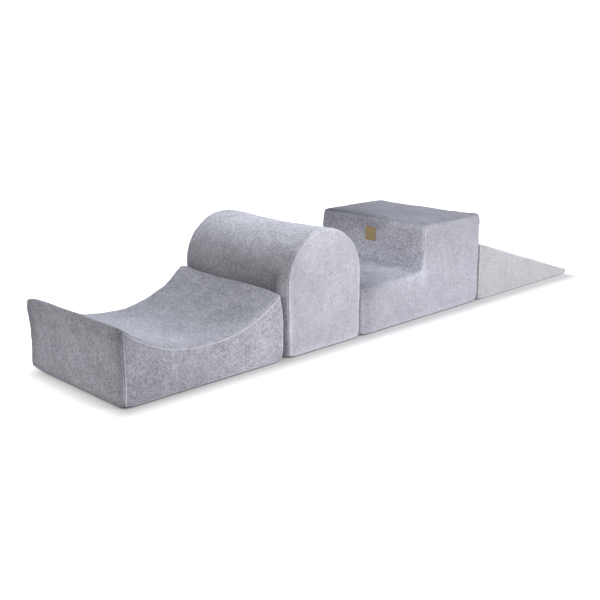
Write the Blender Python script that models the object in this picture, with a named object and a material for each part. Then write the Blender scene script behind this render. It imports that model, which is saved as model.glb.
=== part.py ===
"""A soft play climber: four foam blocks in sewn velvet covers, standing in a row.

The row runs along X, from the dipped valley at -X, over the round hump and the
two steps, to the thin end of the wedge at +X. The far sides, with the zips, face
+Y. The origin is on the floor, in the middle of the row.

Each block is an outline in X and Z, carried across the block's width and rounded
over at both sides. Its cover is four cloth panels that meet in seams: a strip that
runs up one end, over the top and down the other end, a strip underneath, and two
sides. The outline is a chain of arcs, and straight runs join one arc to the next.
"""

import math
from collections import namedtuple

import bmesh
import bpy
from mathutils import Vector

# Sizes of the blocks, in metres
BLOCK_WIDTH = 0.600
VALLEY_LENGTH = 0.680
VALLEY_HEIGHT = 0.262
VALLEY_LOW_HEIGHT = 0.138
VALLEY_LIP_RADIUS = 0.006
HUMP_LENGTH = 0.390
HUMP_HEIGHT = 0.465
STEPS_LENGTH = 0.790
STEPS_HEIGHT = 0.400
TREAD_HEIGHT = 0.200
TREAD_DEPTH = 0.390
STEPS_CREASE_RADIUS = 0.006
WEDGE_LENGTH = 0.800
WEDGE_HEIGHT = 0.265
WEDGE_NOSE_HEIGHT = 0.016
WEDGE_NOSE_ROUNDING_SHARE = 0.45

# Spaces between the blocks as they stand in the row
VALLEY_TO_HUMP_SPACE = 0.028
HUMP_TO_STEPS_SPACE = 0.006
STEPS_TO_WEDGE_SPACE = 0.004

# Covers and their seams
EDGE_RADIUS = 0.010
COVER_THICKNESS = 0.003
CLEARANCE = 0.0003
LEAST_RADIUS = 0.0005

# Zips, near the floor on the far sides
ZIP_HEIGHT = 0.032
ZIP_END_MARGIN = 0.070
ZIP_EDGE_MARGIN = 0.030
ZIP_TEETH_WIDTH = 0.005
ZIP_TEETH_THICKNESS = 0.0014
ZIP_TEETH_BEVEL = 0.0004
ZIP_TAPE_WIDTH = 0.005
ZIP_TAPE_THICKNESS = 0.0008
SLIDER_LENGTH = 0.012
SLIDER_WIDTH = 0.009
SLIDER_THICKNESS = 0.0012
SLIDER_PLATE_SHARE = 0.60
SLIDER_RIB_FOOT_SHARE = 0.55
SLIDER_RIB_TOP_SHARE = 0.42
SLIDER_OUTLINE_SHARES = (
    (-0.50, -0.30),
    (-0.34, -0.44),
    (0.18, -0.50),
    (0.50, -0.36),
    (0.50, 0.36),
    (0.18, 0.50),
    (-0.34, 0.44),
    (-0.50, 0.30),
)
CUT_OVERRUN = 0.002

# Tag on the riser of the steps
TAG_SIZE = 0.060
TAG_THICKNESS = 0.0016
TAG_CORNER_RADIUS = 0.005
TAG_BEVEL = 0.0005
TAG_DROP = 0.040

# How finely the round stretches are cut; a corner's steps are split at its seam
CORNER_STEPS = 4
HALF_ROUND_STEPS = 24
DIP_STEPS = 20
RIM_STEPS = 2
TAG_CORNER_STEPS = 3
SEAM_ANGLE = math.radians(45)
QUARTER_TURN = math.radians(90)
HALF_TURN = math.radians(180)
SMOOTH_ANGLE = math.radians(35)

Arc = namedtuple("Arc", "centre radius start sweep steps")
Block = namedtuple("Block", "name start arcs rim zip_start zip_end")


def new_material(name, colour, roughness, metallic):
    """Principled material in one colour."""
    material = bpy.data.materials.new(name)
    material.use_nodes = True
    shader = material.node_tree.nodes["Principled BSDF"]
    shader.inputs["Base Color"].default_value = (*colour, 1)
    shader.inputs["Roughness"].default_value = roughness
    shader.inputs["Metallic"].default_value = metallic
    material.diffuse_color = (*colour, 1)
    return material


def make_materials():
    """Every finish of the object, by name."""
    return {
        "velvet": new_material("grey_velvet", (0.36, 0.36, 0.40), 0.95, 0),
        "base_cloth": new_material("base_cloth", (0.20, 0.20, 0.22), 0.90, 0),
        "foam": new_material("polyurethane_foam", (0.80, 0.76, 0.62), 0.90, 0),
        "zip_tape": new_material("zip_tape", (0.30, 0.30, 0.33), 0.80, 0),
        "zip_teeth": new_material("zip_teeth", (0.22, 0.22, 0.24), 0.45, 0),
        "zip_slider": new_material("zip_slider", (0.45, 0.45, 0.47), 0.30, 1),
        "tag_leather": new_material("tan_leather", (0.30, 0.21, 0.10), 0.60, 0),
    }


def direction(angle):
    """Unit vector in the outline's plane."""
    return Vector((math.cos(angle), math.sin(angle)))


def angle_of(vector):
    """Angle of a vector in the outline's plane."""
    return math.atan2(vector.y, vector.x)


def corner_arc(before, corner, after, radius, inset):
    """Arc that rounds one corner of an outline that runs anticlockwise.

    The outline is drawn in by inset. An outer corner keeps its centre while its
    radius is larger than the inset, and an inner corner always keeps it.
    """
    first = (corner - before).normalized()
    second = (after - corner).normalized()
    inward_first = Vector((-first.y, first.x))
    inward_second = Vector((-second.y, second.x))
    turn = math.atan2(first.cross(second), first.dot(second))
    reach = (inward_first + inward_second) / (1 + inward_first.dot(inward_second))
    if turn > 0:
        held = max(radius, inset + LEAST_RADIUS)
        return Arc(corner + reach * held, held - inset, angle_of(-inward_first), turn, CORNER_STEPS)
    return Arc(corner - reach * radius, radius + inset, angle_of(inward_first), turn, CORNER_STEPS)


def polygon_arcs(corners, inset):
    """Arcs at the corners of a polygon, from a list of (x, z, radius)."""
    places = [Vector((x, z)) for x, z, _ in corners]
    count = len(places)
    return [
        corner_arc(places[i - 1], places[i], places[(i + 1) % count], corners[i][2], inset)
        for i in range(count)
    ]


def foot_arcs(length, radius, inset):
    """The two arcs at the floor, the one at the start of the block first."""
    upright = EDGE_RADIUS + radius
    corners = [(0, 0, radius), (length, 0, radius), (length, upright, 0), (0, upright, 0)]
    return polygon_arcs(corners, inset)[:2]


def dip_radius():
    """Radius of the valley's dip, through its low point and touching both lips.

    A circle over the low point touches a lip circle from outside when the distance
    between their centres is the sum of their radii.
    """
    across = VALLEY_LENGTH / 2 - VALLEY_LIP_RADIUS
    down = VALLEY_LOW_HEIGHT - VALLEY_HEIGHT + VALLEY_LIP_RADIUS
    depth = VALLEY_HEIGHT - VALLEY_LOW_HEIGHT
    return (across**2 + down**2 - VALLEY_LIP_RADIUS**2) / (2 * depth)


def valley_arcs(inset):
    """Outline of the valley: two feet, a lip at each end and the dip between them."""
    radius = dip_radius()
    centre = Vector((VALLEY_LENGTH / 2, VALLEY_LOW_HEIGHT + radius))
    held = max(VALLEY_LIP_RADIUS, inset + LEAST_RADIUS)
    across = VALLEY_LENGTH / 2 - held
    lip_height = centre.y - math.sqrt((radius + held) ** 2 - across**2)
    towards_centre = angle_of(Vector((-across, centre.y - lip_height)))
    right_lip = Arc(
        Vector((VALLEY_LENGTH - held, lip_height)), held - inset, 0, towards_centre, CORNER_STEPS
    )
    left_lip = Arc(
        Vector((held, lip_height)),
        held - inset,
        HALF_TURN - towards_centre,
        towards_centre,
        CORNER_STEPS,
    )
    dip_start = towards_centre - HALF_TURN
    dip_sweep = -HALF_TURN - 2 * dip_start
    dip = Arc(centre, radius + inset, dip_start, dip_sweep, DIP_STEPS)
    return foot_arcs(VALLEY_LENGTH, EDGE_RADIUS, inset) + [right_lip, dip, left_lip]


def hump_arcs(inset):
    """Outline of the hump: two feet and a half-round top."""
    radius = HUMP_LENGTH / 2
    top = Arc(
        Vector((radius, HUMP_HEIGHT - radius)), radius - inset, 0, HALF_TURN, HALF_ROUND_STEPS
    )
    return foot_arcs(HUMP_LENGTH, EDGE_RADIUS, inset) + [top]


def steps_arcs(inset):
    """Outline of the steps: the low tread faces the hump, the high one the wedge."""
    corners = [
        (0, 0, EDGE_RADIUS),
        (STEPS_LENGTH, 0, EDGE_RADIUS),
        (STEPS_LENGTH, STEPS_HEIGHT, EDGE_RADIUS),
        (TREAD_DEPTH, STEPS_HEIGHT, EDGE_RADIUS),
        (TREAD_DEPTH, TREAD_HEIGHT, STEPS_CREASE_RADIUS),
        (0, TREAD_HEIGHT, EDGE_RADIUS),
    ]
    return polygon_arcs(corners, inset)


def wedge_edge_radius():
    """Rounding of the wedge's edges, held to what its thin end leaves room for."""
    return min(EDGE_RADIUS, WEDGE_NOSE_ROUNDING_SHARE * WEDGE_NOSE_HEIGHT)


def wedge_arcs(inset):
    """Outline of the wedge, with its thin end away from the steps."""
    radius = wedge_edge_radius()
    corners = [
        (0, 0, radius),
        (WEDGE_LENGTH, 0, radius),
        (WEDGE_LENGTH, WEDGE_NOSE_HEIGHT, radius),
        (0, WEDGE_HEIGHT, radius),
    ]
    return polygon_arcs(corners, inset)


def slot_height():
    """Height of the slot in a far side: two tapes, the teeth and the gaps."""
    return ZIP_TEETH_WIDTH + 2 * ZIP_TAPE_WIDTH + 4 * CLEARANCE


def wedge_zip_end():
    """Where the wedge is still tall enough to hold the zip and a margin above it."""
    needed = ZIP_HEIGHT + slot_height() / 2 + ZIP_EDGE_MARGIN
    fall = (needed - WEDGE_NOSE_HEIGHT) / (WEDGE_HEIGHT - WEDGE_NOSE_HEIGHT)
    return WEDGE_LENGTH * (1 - fall)


def row_of_blocks():
    """The four blocks, with their places along the row."""
    hump_start = VALLEY_LENGTH + VALLEY_TO_HUMP_SPACE
    steps_start = hump_start + HUMP_LENGTH + HUMP_TO_STEPS_SPACE
    wedge_start = steps_start + STEPS_LENGTH + STEPS_TO_WEDGE_SPACE
    middle = (wedge_start + WEDGE_LENGTH) / 2
    margin = ZIP_END_MARGIN
    rim = EDGE_RADIUS
    return [
        Block("valley", -middle, valley_arcs, rim, margin, VALLEY_LENGTH - margin),
        Block("hump", hump_start - middle, hump_arcs, rim, margin, HUMP_LENGTH - margin),
        Block("steps", steps_start - middle, steps_arcs, rim, margin, STEPS_LENGTH - margin),
        Block("wedge", wedge_start - middle, wedge_arcs, wedge_edge_radius(), margin, wedge_zip_end()),
    ]


def arc_points(arc, first=0, last=None, start_gap=0, end_gap=0):
    """Points on an arc, from one of its steps to another, ends drawn in by a gap."""
    last = arc.steps if last is None else last
    step = arc.sweep / arc.steps
    angles = [arc.start + step * i for i in range(first, last + 1)]
    angles[0] += start_gap / arc.radius
    angles[-1] -= end_gap / arc.radius
    return [arc.centre + direction(angle) * arc.radius for angle in angles]


def closed_outline(arcs):
    """All the way round a block."""
    return [point for arc in arcs for point in arc_points(arc)]


def top_outline(arcs):
    """From the seam at the end's foot, over the top, to the seam at the start's foot."""
    half = CORNER_STEPS // 2
    gap = CLEARANCE / 2
    points = arc_points(arcs[1], first=half, start_gap=gap)
    for arc in arcs[2:]:
        points += arc_points(arc)
    return points + arc_points(arcs[0], last=half, end_gap=gap)


def base_outline(arcs):
    """Along the floor, from seam to seam."""
    half = CORNER_STEPS // 2
    gap = CLEARANCE / 2
    return arc_points(arcs[0], first=half, start_gap=gap) + arc_points(arcs[1], last=half, end_gap=gap)


def rim_place(rim, radius, angle):
    """Inset from the outline, and distance from the mid plane, of a point on the rim.

    The rim turns from the top strip at angle 0 to the side at a quarter turn. Every
    layer of the block turns about the same centre, with its own radius.
    """
    return rim - radius * math.cos(angle), BLOCK_WIDTH / 2 - rim + radius * math.sin(angle)


def rim_angles(first, last):
    """Angles from one part of the rim to another."""
    steps = max(1, round(RIM_STEPS * abs(last - first) / SEAM_ANGLE))
    return [first + (last - first) * i / steps for i in range(steps + 1)]


def tube(rings):
    """Closed mesh of rings of points, each joined to the next, with both ends filled."""
    shell = bmesh.new()
    loops = [[shell.verts.new(point) for point in ring] for ring in rings]
    count = len(loops[0])
    for low, high in zip(loops, loops[1:]):
        for i in range(count):
            j = (i + 1) % count
            shell.faces.new((low[i], low[j], high[j], high[i]))
    shell.faces.new(loops[0])
    shell.faces.new(loops[-1])
    bmesh.ops.recalc_face_normals(shell, faces=shell.faces)
    return shell


def add_object(name, shell, material, parent, place=(0, 0, 0)):
    """Object from a mesh under construction, shaded smooth between its sharp edges."""
    mesh = bpy.data.meshes.new(name)
    shell.to_mesh(mesh)
    shell.free()
    mesh.materials.append(material)
    mesh.shade_smooth()
    mesh.set_sharp_from_angle(angle=SMOOTH_ANGLE)
    piece = bpy.data.objects.new(name, mesh)
    bpy.context.collection.objects.link(piece)
    piece.parent = parent
    piece.location = place
    return piece


def add_block_origin(block):
    """Empty that carries one block's pieces and moves them along the row."""
    origin = bpy.data.objects.new(f"{block.name}_block", None)
    bpy.context.collection.objects.link(origin)
    origin.location = (block.start, 0, 0)
    return origin


def outline_ring(block, inset, across):
    """The block's closed outline at one distance from the mid plane."""
    return [Vector((p.x, across, p.y)) for p in closed_outline(block.arcs(inset))]


def add_foam(block, origin, material):
    """Foam core, one clearance inside the cover all round."""
    radius = block.rim - COVER_THICKNESS - CLEARANCE
    places = [rim_place(block.rim, radius, angle) for angle in rim_angles(QUARTER_TURN, 0)]
    near = [outline_ring(block, inset, -across) for inset, across in places]
    far = [outline_ring(block, inset, across) for inset, across in reversed(places)]
    return add_object(f"{block.name}_foam", tube(near + far), material, origin)


def add_strip(block, origin, material, part, outline_of):
    """Cloth strip that runs along part of the outline and turns over both rims."""
    inner_radius = block.rim - COVER_THICKNESS
    seam = SEAM_ANGLE - CLEARANCE / 2 / inner_radius
    outer = [rim_place(block.rim, block.rim, angle) for angle in rim_angles(seam, 0)]
    inner = [rim_place(block.rim, inner_radius, angle) for angle in rim_angles(seam, 0)]
    section = [(inset, -across) for inset, across in outer]
    section += [(inset, across) for inset, across in reversed(outer)]
    section += [(inset, across) for inset, across in inner]
    section += [(inset, -across) for inset, across in reversed(inner)]
    runs = [
        [Vector((p.x, across, p.y)) for p in outline_of(block.arcs(inset))]
        for inset, across in section
    ]
    return add_object(f"{block.name}_{part}", tube(list(zip(*runs))), material, origin)


def add_side(block, origin, material, part, sign):
    """Cloth side: flat in the middle, and turned in over the rim to its seam."""
    inner_radius = block.rim - COVER_THICKNESS
    seam = SEAM_ANGLE + CLEARANCE / 2 / inner_radius
    outer = [rim_place(block.rim, block.rim, angle) for angle in rim_angles(QUARTER_TURN, seam)]
    inner = [rim_place(block.rim, inner_radius, angle) for angle in rim_angles(seam, QUARTER_TURN)]
    rings = [outline_ring(block, inset, sign * across) for inset, across in outer + inner]
    return add_object(f"{block.name}_{part}", tube(rings), material, origin)


def box_shell(low, high, bevel=0):
    """Box between two corners, its edges bevelled where a bevel is given."""
    shell = bmesh.new()
    low, high = Vector(low), Vector(high)
    bmesh.ops.create_cube(shell, size=1)
    bmesh.ops.scale(shell, vec=high - low, verts=shell.verts)
    bmesh.ops.translate(shell, vec=(low + high) / 2, verts=shell.verts)
    if bevel:
        bmesh.ops.bevel(shell, geom=shell.edges, offset=bevel, segments=1, affect="EDGES")
    return shell


def cut_zip_slot(block, origin, side):
    """Slot through the far side that the zip lies in."""
    half = slot_height() / 2
    back = BLOCK_WIDTH / 2 - COVER_THICKNESS - CUT_OVERRUN
    front = BLOCK_WIDTH / 2 + CUT_OVERRUN
    low = (block.zip_start - CLEARANCE, back, ZIP_HEIGHT - half)
    high = (block.zip_end + CLEARANCE, front, ZIP_HEIGHT + half)
    cutter = add_object(f"{block.name}_zip_cutter", box_shell(low, high), side.data.materials[0], origin)
    cutter.hide_render = True
    cutter.display_type = "WIRE"
    cut = side.modifiers.new("zip_slot", "BOOLEAN")
    cut.object = cutter
    cut.operation = "DIFFERENCE"
    cut.solver = "EXACT"


def add_tapes(block, origin, material):
    """Zip tapes above and below the teeth, against the slot's edges."""
    back = BLOCK_WIDTH / 2 - COVER_THICKNESS
    inner_edge = ZIP_TEETH_WIDTH / 2 + CLEARANCE
    outer_edge = inner_edge + ZIP_TAPE_WIDTH
    for part, low, high in (
        ("zip_upper_tape", ZIP_HEIGHT + inner_edge, ZIP_HEIGHT + outer_edge),
        ("zip_lower_tape", ZIP_HEIGHT - outer_edge, ZIP_HEIGHT - inner_edge),
    ):
        shell = box_shell(
            (block.zip_start, back, low), (block.zip_end, back + ZIP_TAPE_THICKNESS, high)
        )
        add_object(f"{block.name}_{part}", shell, material, origin)


def add_teeth(block, origin, material):
    """Closed row of zip teeth, from end to end of the zip."""
    back = BLOCK_WIDTH / 2 - COVER_THICKNESS
    half = ZIP_TEETH_WIDTH / 2
    shell = box_shell(
        (block.zip_start, back, ZIP_HEIGHT - half),
        (block.zip_end, back + ZIP_TEETH_THICKNESS, ZIP_HEIGHT + half),
        ZIP_TEETH_BEVEL,
    )
    add_object(f"{block.name}_zip_teeth", shell, material, origin)


def slider_ring(share, height):
    """The slider's outline, narrowed by a share, at one height over its back."""
    return [
        Vector((x * SLIDER_LENGTH * share, height, z * SLIDER_WIDTH * share))
        for x, z in SLIDER_OUTLINE_SHARES
    ]


def add_slider(block, origin, material):
    """Zip slider at the closed end of its zip, its origin on the line that it runs along."""
    back = BLOCK_WIDTH / 2 - COVER_THICKNESS + ZIP_TEETH_THICKNESS + CLEARANCE
    plate_top = SLIDER_THICKNESS * SLIDER_PLATE_SHARE
    shell = tube(
        [
            slider_ring(1, 0),
            slider_ring(1, plate_top),
            slider_ring(SLIDER_RIB_FOOT_SHARE, plate_top),
            slider_ring(SLIDER_RIB_TOP_SHARE, SLIDER_THICKNESS),
        ]
    )
    place = (block.zip_end - SLIDER_LENGTH / 2, back, ZIP_HEIGHT)
    add_object(f"{block.name}_zip_slider", shell, material, origin, place)


def tag_ring(inset, depth):
    """Rounded square of the tag, drawn in by an inset, at one depth in front of the riser."""
    half = TAG_SIZE / 2
    corners = [(-half, -half), (half, -half), (half, half), (-half, half)]
    rounded = polygon_arcs([(y, z, TAG_CORNER_RADIUS) for y, z in corners], inset)
    rounded = [arc._replace(steps=TAG_CORNER_STEPS) for arc in rounded]
    return [Vector((-depth, -p.x, p.y)) for p in closed_outline(rounded)]


def add_tag(origin, material):
    """Leather tag on the riser, midway across the block and below the high tread."""
    shell = tube(
        [tag_ring(0, 0), tag_ring(0, TAG_THICKNESS - TAG_BEVEL), tag_ring(TAG_BEVEL, TAG_THICKNESS)]
    )
    place = (TREAD_DEPTH - CLEARANCE, 0, STEPS_HEIGHT - TAG_DROP - TAG_SIZE / 2)
    add_object("steps_tag", shell, material, origin, place)


def add_block(block, materials):
    """One block: its foam, its cover's four panels and its zip."""
    origin = add_block_origin(block)
    add_foam(block, origin, materials["foam"])
    add_strip(block, origin, materials["velvet"], "cover_top", top_outline)
    add_strip(block, origin, materials["base_cloth"], "cover_base", base_outline)
    add_side(block, origin, materials["velvet"], "cover_near_side", -1)
    far_side = add_side(block, origin, materials["velvet"], "cover_far_side", 1)
    cut_zip_slot(block, origin, far_side)
    add_tapes(block, origin, materials["zip_tape"])
    add_teeth(block, origin, materials["zip_teeth"])
    add_slider(block, origin, materials["zip_slider"])
    return origin


def main():
    for piece in list(bpy.data.objects):
        bpy.data.objects.remove(piece, do_unlink=True)
    materials = make_materials()
    origins = {block.name: add_block(block, materials) for block in row_of_blocks()}
    add_tag(origins["steps"], materials["tag_leather"])


main()
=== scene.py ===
"""Looks of a soft play climber: four foam blocks in sewn velvet covers, in a row.

Each cover is worked out as one closed surface round its block, swelled as cloth
under pressure with its seams held, and then parted at the seams into its panels,
whose edges roll down into the seams. Lengths are in metres, in the part's frame:
the row runs along X, +Z is up, and the far sides, with the zips, face +Y.
"""

import math
from collections import namedtuple

import bmesh
import bpy
import numpy as np
from bpy.props import FloatProperty, FloatVectorProperty, IntProperty, PointerProperty
from bpy.types import Operator, Panel, PropertyGroup
from mathutils import Matrix, Vector


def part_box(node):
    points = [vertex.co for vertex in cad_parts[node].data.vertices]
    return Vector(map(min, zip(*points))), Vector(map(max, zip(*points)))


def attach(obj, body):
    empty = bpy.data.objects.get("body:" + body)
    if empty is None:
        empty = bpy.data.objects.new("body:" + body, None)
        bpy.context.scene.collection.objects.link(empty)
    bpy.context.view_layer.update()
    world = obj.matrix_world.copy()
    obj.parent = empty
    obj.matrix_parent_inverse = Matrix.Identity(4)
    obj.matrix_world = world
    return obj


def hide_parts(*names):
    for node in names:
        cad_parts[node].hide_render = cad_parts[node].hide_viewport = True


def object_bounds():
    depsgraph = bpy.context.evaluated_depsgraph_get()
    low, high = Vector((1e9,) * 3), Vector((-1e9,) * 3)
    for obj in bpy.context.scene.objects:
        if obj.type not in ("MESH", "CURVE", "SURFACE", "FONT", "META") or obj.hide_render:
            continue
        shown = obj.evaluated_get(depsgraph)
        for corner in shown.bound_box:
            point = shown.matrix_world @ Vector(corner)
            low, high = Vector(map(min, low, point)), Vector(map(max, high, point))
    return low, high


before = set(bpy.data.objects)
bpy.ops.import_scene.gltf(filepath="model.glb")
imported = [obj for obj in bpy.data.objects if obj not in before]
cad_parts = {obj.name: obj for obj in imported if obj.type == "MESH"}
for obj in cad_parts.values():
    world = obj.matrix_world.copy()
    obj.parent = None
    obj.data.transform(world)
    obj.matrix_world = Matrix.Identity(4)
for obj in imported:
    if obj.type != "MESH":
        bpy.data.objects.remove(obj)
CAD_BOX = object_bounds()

bl_info = {
    "name": "Soft play row",
    "version": (1, 0, 0),
    "blender": (4, 5, 0),
    "location": "View3D > Sidebar > Play row",
    "description": "Builds a row of velvet-covered foam play blocks",
    "category": "Object",
}

BLOCK_NAMES = ("valley", "hump", "steps", "wedge")
PANEL_NODES = {
    "top": "cover_top",
    "near": "cover_near_side",
    "far": "cover_far_side",
    "base": "cover_base",
}

# Least lengths and roundings, the space left between pieces, the widths of the floor
# and of the camera's frame, and how near the zip's slot and how flat a face is that
# is cut for it.
QUARTER_TURN = math.pi / 2
LEAST_LENGTH = 1e-12
LEAST_STEP = 1e-9
LEAST_RADIUS = 0.0005
CLEARANCE = 0.0003
FAR_AWAY = 1.0
FLOOR_SIZE = 60.0
FRAME_WIDTH = 36
MERGE_REACH = 0.00001
CUT_ROOM = 0.020
FLAT_FACING = 0.9

# How finely the outlines, rims, rolls, wires and plates are divided.
ARC_STEPS = 64
LEAST_ARC_PLACES = 4
RIM_STEPS = 4
ROLL_POINTS = 4
STEPS_GRID_LEAN = 0.13
COIL_POINTS = 8
WIRE_SIDES = 4
BRIDGE_POINTS = 9
BRIDGE_SIDES = 8
STITCH_POINTS = 5
SLIDER_GRID = 0.0012
TAG_GRID = 0.003

# Lengths of the cloth's waves, and how they are drawn.
LONG_WAVE = 0.20
SHORT_WAVE = 0.08
SHORT_WAVE_SHARE = 0.5
PUCKER_WAVE = 0.035
PUCKER_REACH = 0.020
PLANE_WAVES = 12
WAVE_SPREAD = (0.7, 1.4)

# How much deeper the foam's corners are rounded than its cover's.
CORE_ROUNDING = 1.5

# Shares of a slider's, a pull's and a stitch's own sizes.
SLIDER_TAPER = 0.7
SLIDER_EDGE = 0.25
SLIDER_ROUNDING = 0.35
STITCH_END = 0.35

# Noises as scale, detail and roughness, weaves as pitch and two colours, and the
# shares in which they make up the finishes.
VELVET_STRETCH = (1, 0.75, 1)
VELVET_NOISES = ((8, 2, 0.5), (28, 3, 0.6), (90, 3, 0.65), (260, 2, 0.6))
RAGGED_NOISE = (130, 2)
RAGGED_REACH = 0.0006
# Widths of the painted light at a seam: the groove, whose bottom is lifted out of its
# shade, and the painted highlight beside it, which peaks and then fades.
SEAM_WIDTH = 0.0018
SEAM_HIGHLIGHT_PEAK = 2 * SEAM_WIDTH
SEAM_HIGHLIGHT_END = 6 * SEAM_WIDTH
SEAM_EVENNESS = 2.0
SHEEN_ROUGHNESS = 0.5
WORN_NOISE = (40, 3)
WORN_SHARE = 0.5
WEAVE_SHARE = 0.35
BASE_WEAVE = (0.0012, (0.20, 0.20, 0.22), (0.10, 0.10, 0.115))
TAPE_WEAVE = (0.0009, (0.34, 0.34, 0.37), (0.22, 0.22, 0.25))
FOAM_CELLS = 450
CELL_WALL = 0.6
CELL_WALL_TONE = 0.72
YELLOWED_NOISE = (6, 3)
YELLOWED_FOAM = (0.95, 0.86, 0.68)
NYLON_NOISE = (300, 3)
NYLON_COLOURS = ((0.13, 0.13, 0.15), (0.21, 0.21, 0.23))
SCRATCH_STRETCH = (1, 1, 0.1)
SCRATCH_NOISE = (2500, 4, 0.7)
SCRATCH_SHARE = 0.6
SHINE_NOISE = (400, 2)
METAL_COLOURS = ((0.36, 0.36, 0.38), (0.52, 0.52, 0.54))
LEATHER_PORES = 1400
LEATHER_NOISE = (60, 4, 0.6)
LEATHER_WEAR = (0.9, 0.65)
PORE_SHARE = -0.35
TAG_EDGE = 0.0006
TAG_EDGE_TONE = 0.6
THREAD_NOISE = (1500, 2)
THREAD_COLOURS = ((0.55, 0.42, 0.28), (0.74, 0.62, 0.46))

# Columns of a panel's grid; the last holds the pile's painted light and shade.
POSITION, CLOTH_PLACE, SEAM_DISTANCE, PAINTED_LIGHT = slice(0, 3), slice(3, 5), 5, 6
COLUMNS = 7

CLOTH_SETTINGS = {
    "quality": 5,
    "mass": 0.3,
    "tension_stiffness": 40,
    "compression_stiffness": 40,
    "shear_stiffness": 20,
    "bending_stiffness": 2,
    "use_pressure": True,
}

Arc = namedtuple("Arc", "centre radius start sweep")
Block = namedtuple("Block", "name low high arcs marks rim lean")
Shell = namedtuple("Shell", "points quads sleeve near far")
Cloth = namedtuple("Cloth", "points normals distance nap")
Lamp = namedtuple("Lamp", "name place target width power colour")
Patch = namedtuple("Patch", "block place_shares reach gain")
Bulge = namedtuple("Bulge", "block place_shares reach height")
Pull = namedtuple("Pull", "block place_shares reach move")

LAMPS = (
    Lamp("front_lamp", (1.7, -4.2, 1.5), (0.3, 0, 0.2), 2.2, 148, (1, 1, 1)),
    Lamp("left_lamp", (-4.2, -0.8, 2.6), (-0.8, 0, 0.2), 2.4, 42, (1, 0.98, 0.90)),
    Lamp("top_lamp", (0, 0.6, 3.6), (0, 0, 0), 3.5, 22, (0.70, 0.82, 1)),
    Lamp("back_lamp", (0.5, 4.6, 2.0), (0.2, 0, 0.2), 2.6, 45, (1, 1, 1)),
)

# Places are shares of a block's box, and reaches, heights and moves are in metres.
BULGES = (
    Bulge("valley", (0.0, 1.0, 0.5), (0.08, 0.30, 0.20), 0.003),
    Bulge("hump", (0.3, 1.0, 1.0), (0.30, 0.28, 0.40), 0.010),
    Bulge("hump", (0.5, 0.5, 1.0), (0.30, 0.20, 0.15), -0.007),
)
PULLS = (
    Pull("valley", (0.0, 1.0, 1.0), (0.07, 0.07, 0.07), (-0.010, 0, 0)),
    Pull("valley", (0.0, 1.0, 1.0), (0.03, 0.03, 0.03), (0, -0.007, -0.005)),
    Pull("valley", (1.0, 0.0, 1.0), (0.06, 0.08, 0.06), (-0.003, 0.003, -0.009)),
    Pull("valley", (0.5, 0.0, 0.5), (0.18, 0.10, 0.08), (0, 0, 0.009)),
    Pull("valley", (0.0, 1.0, 0.0), (0.05, 0.05, 0.05), (-0.002, 0, 0.005)),
    Pull("valley", (0.0, 0.55, 1.0), (0.06, 0.22, 0.06), (0, 0, 0.002)),
    Pull("valley", (0.0, 0.5, 0.0), (0.05, 9.0, 0.04), (-0.008, 0, 0)),
    Pull("valley", (1.0, 1.0, 1.0), (0.08, 0.10, 0.08), (0, 0.003, 0.010)),
    Pull("valley", (0.5, 1.0, 0.5), (0.25, 0.12, 0.10), (0, 0, 0.007)),
    Pull("valley", (1.0, 0.0, 0.5), (0.05, 0.12, 0.10), (0.006, 0, 0)),
    Pull("steps", (0.494, 0.5, 0.5), (0.05, 9.0, 0.05), (-0.011, 0, 0.012)),
    Pull("steps", (0.75, 1.0, 1.0), (0.30, 0.30, 0.12), (0, 0, 0.008)),
    Pull("steps", (1.0, 1.0, 1.0), (0.06, 0.06, 0.06), (0, 0, 0.004)),
    Pull("steps", (1.0, 0.0, 1.0), (0.05, 0.05, 0.05), (0, -0.004, 0.005)),
    Pull("steps", (0.42, 0.6, 0.5), (0.10, 0.35, 0.05), (0, 0, 0.008)),
    Pull("steps", (0.494, 0.8, 1.0), (0.06, 0.25, 0.06), (0, 0, 0.003)),
    Pull("wedge", (0.0, 0.0, 1.0), (0.25, 0.20, 0.10), (0, 0, 0.004)),
)
# How far a block's cloth may stand out at its ends at -X and at +X.
FREE_ENDS = {"valley": (0.020, 0.008), "hump": (0.009, 0.0012)}
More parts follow.
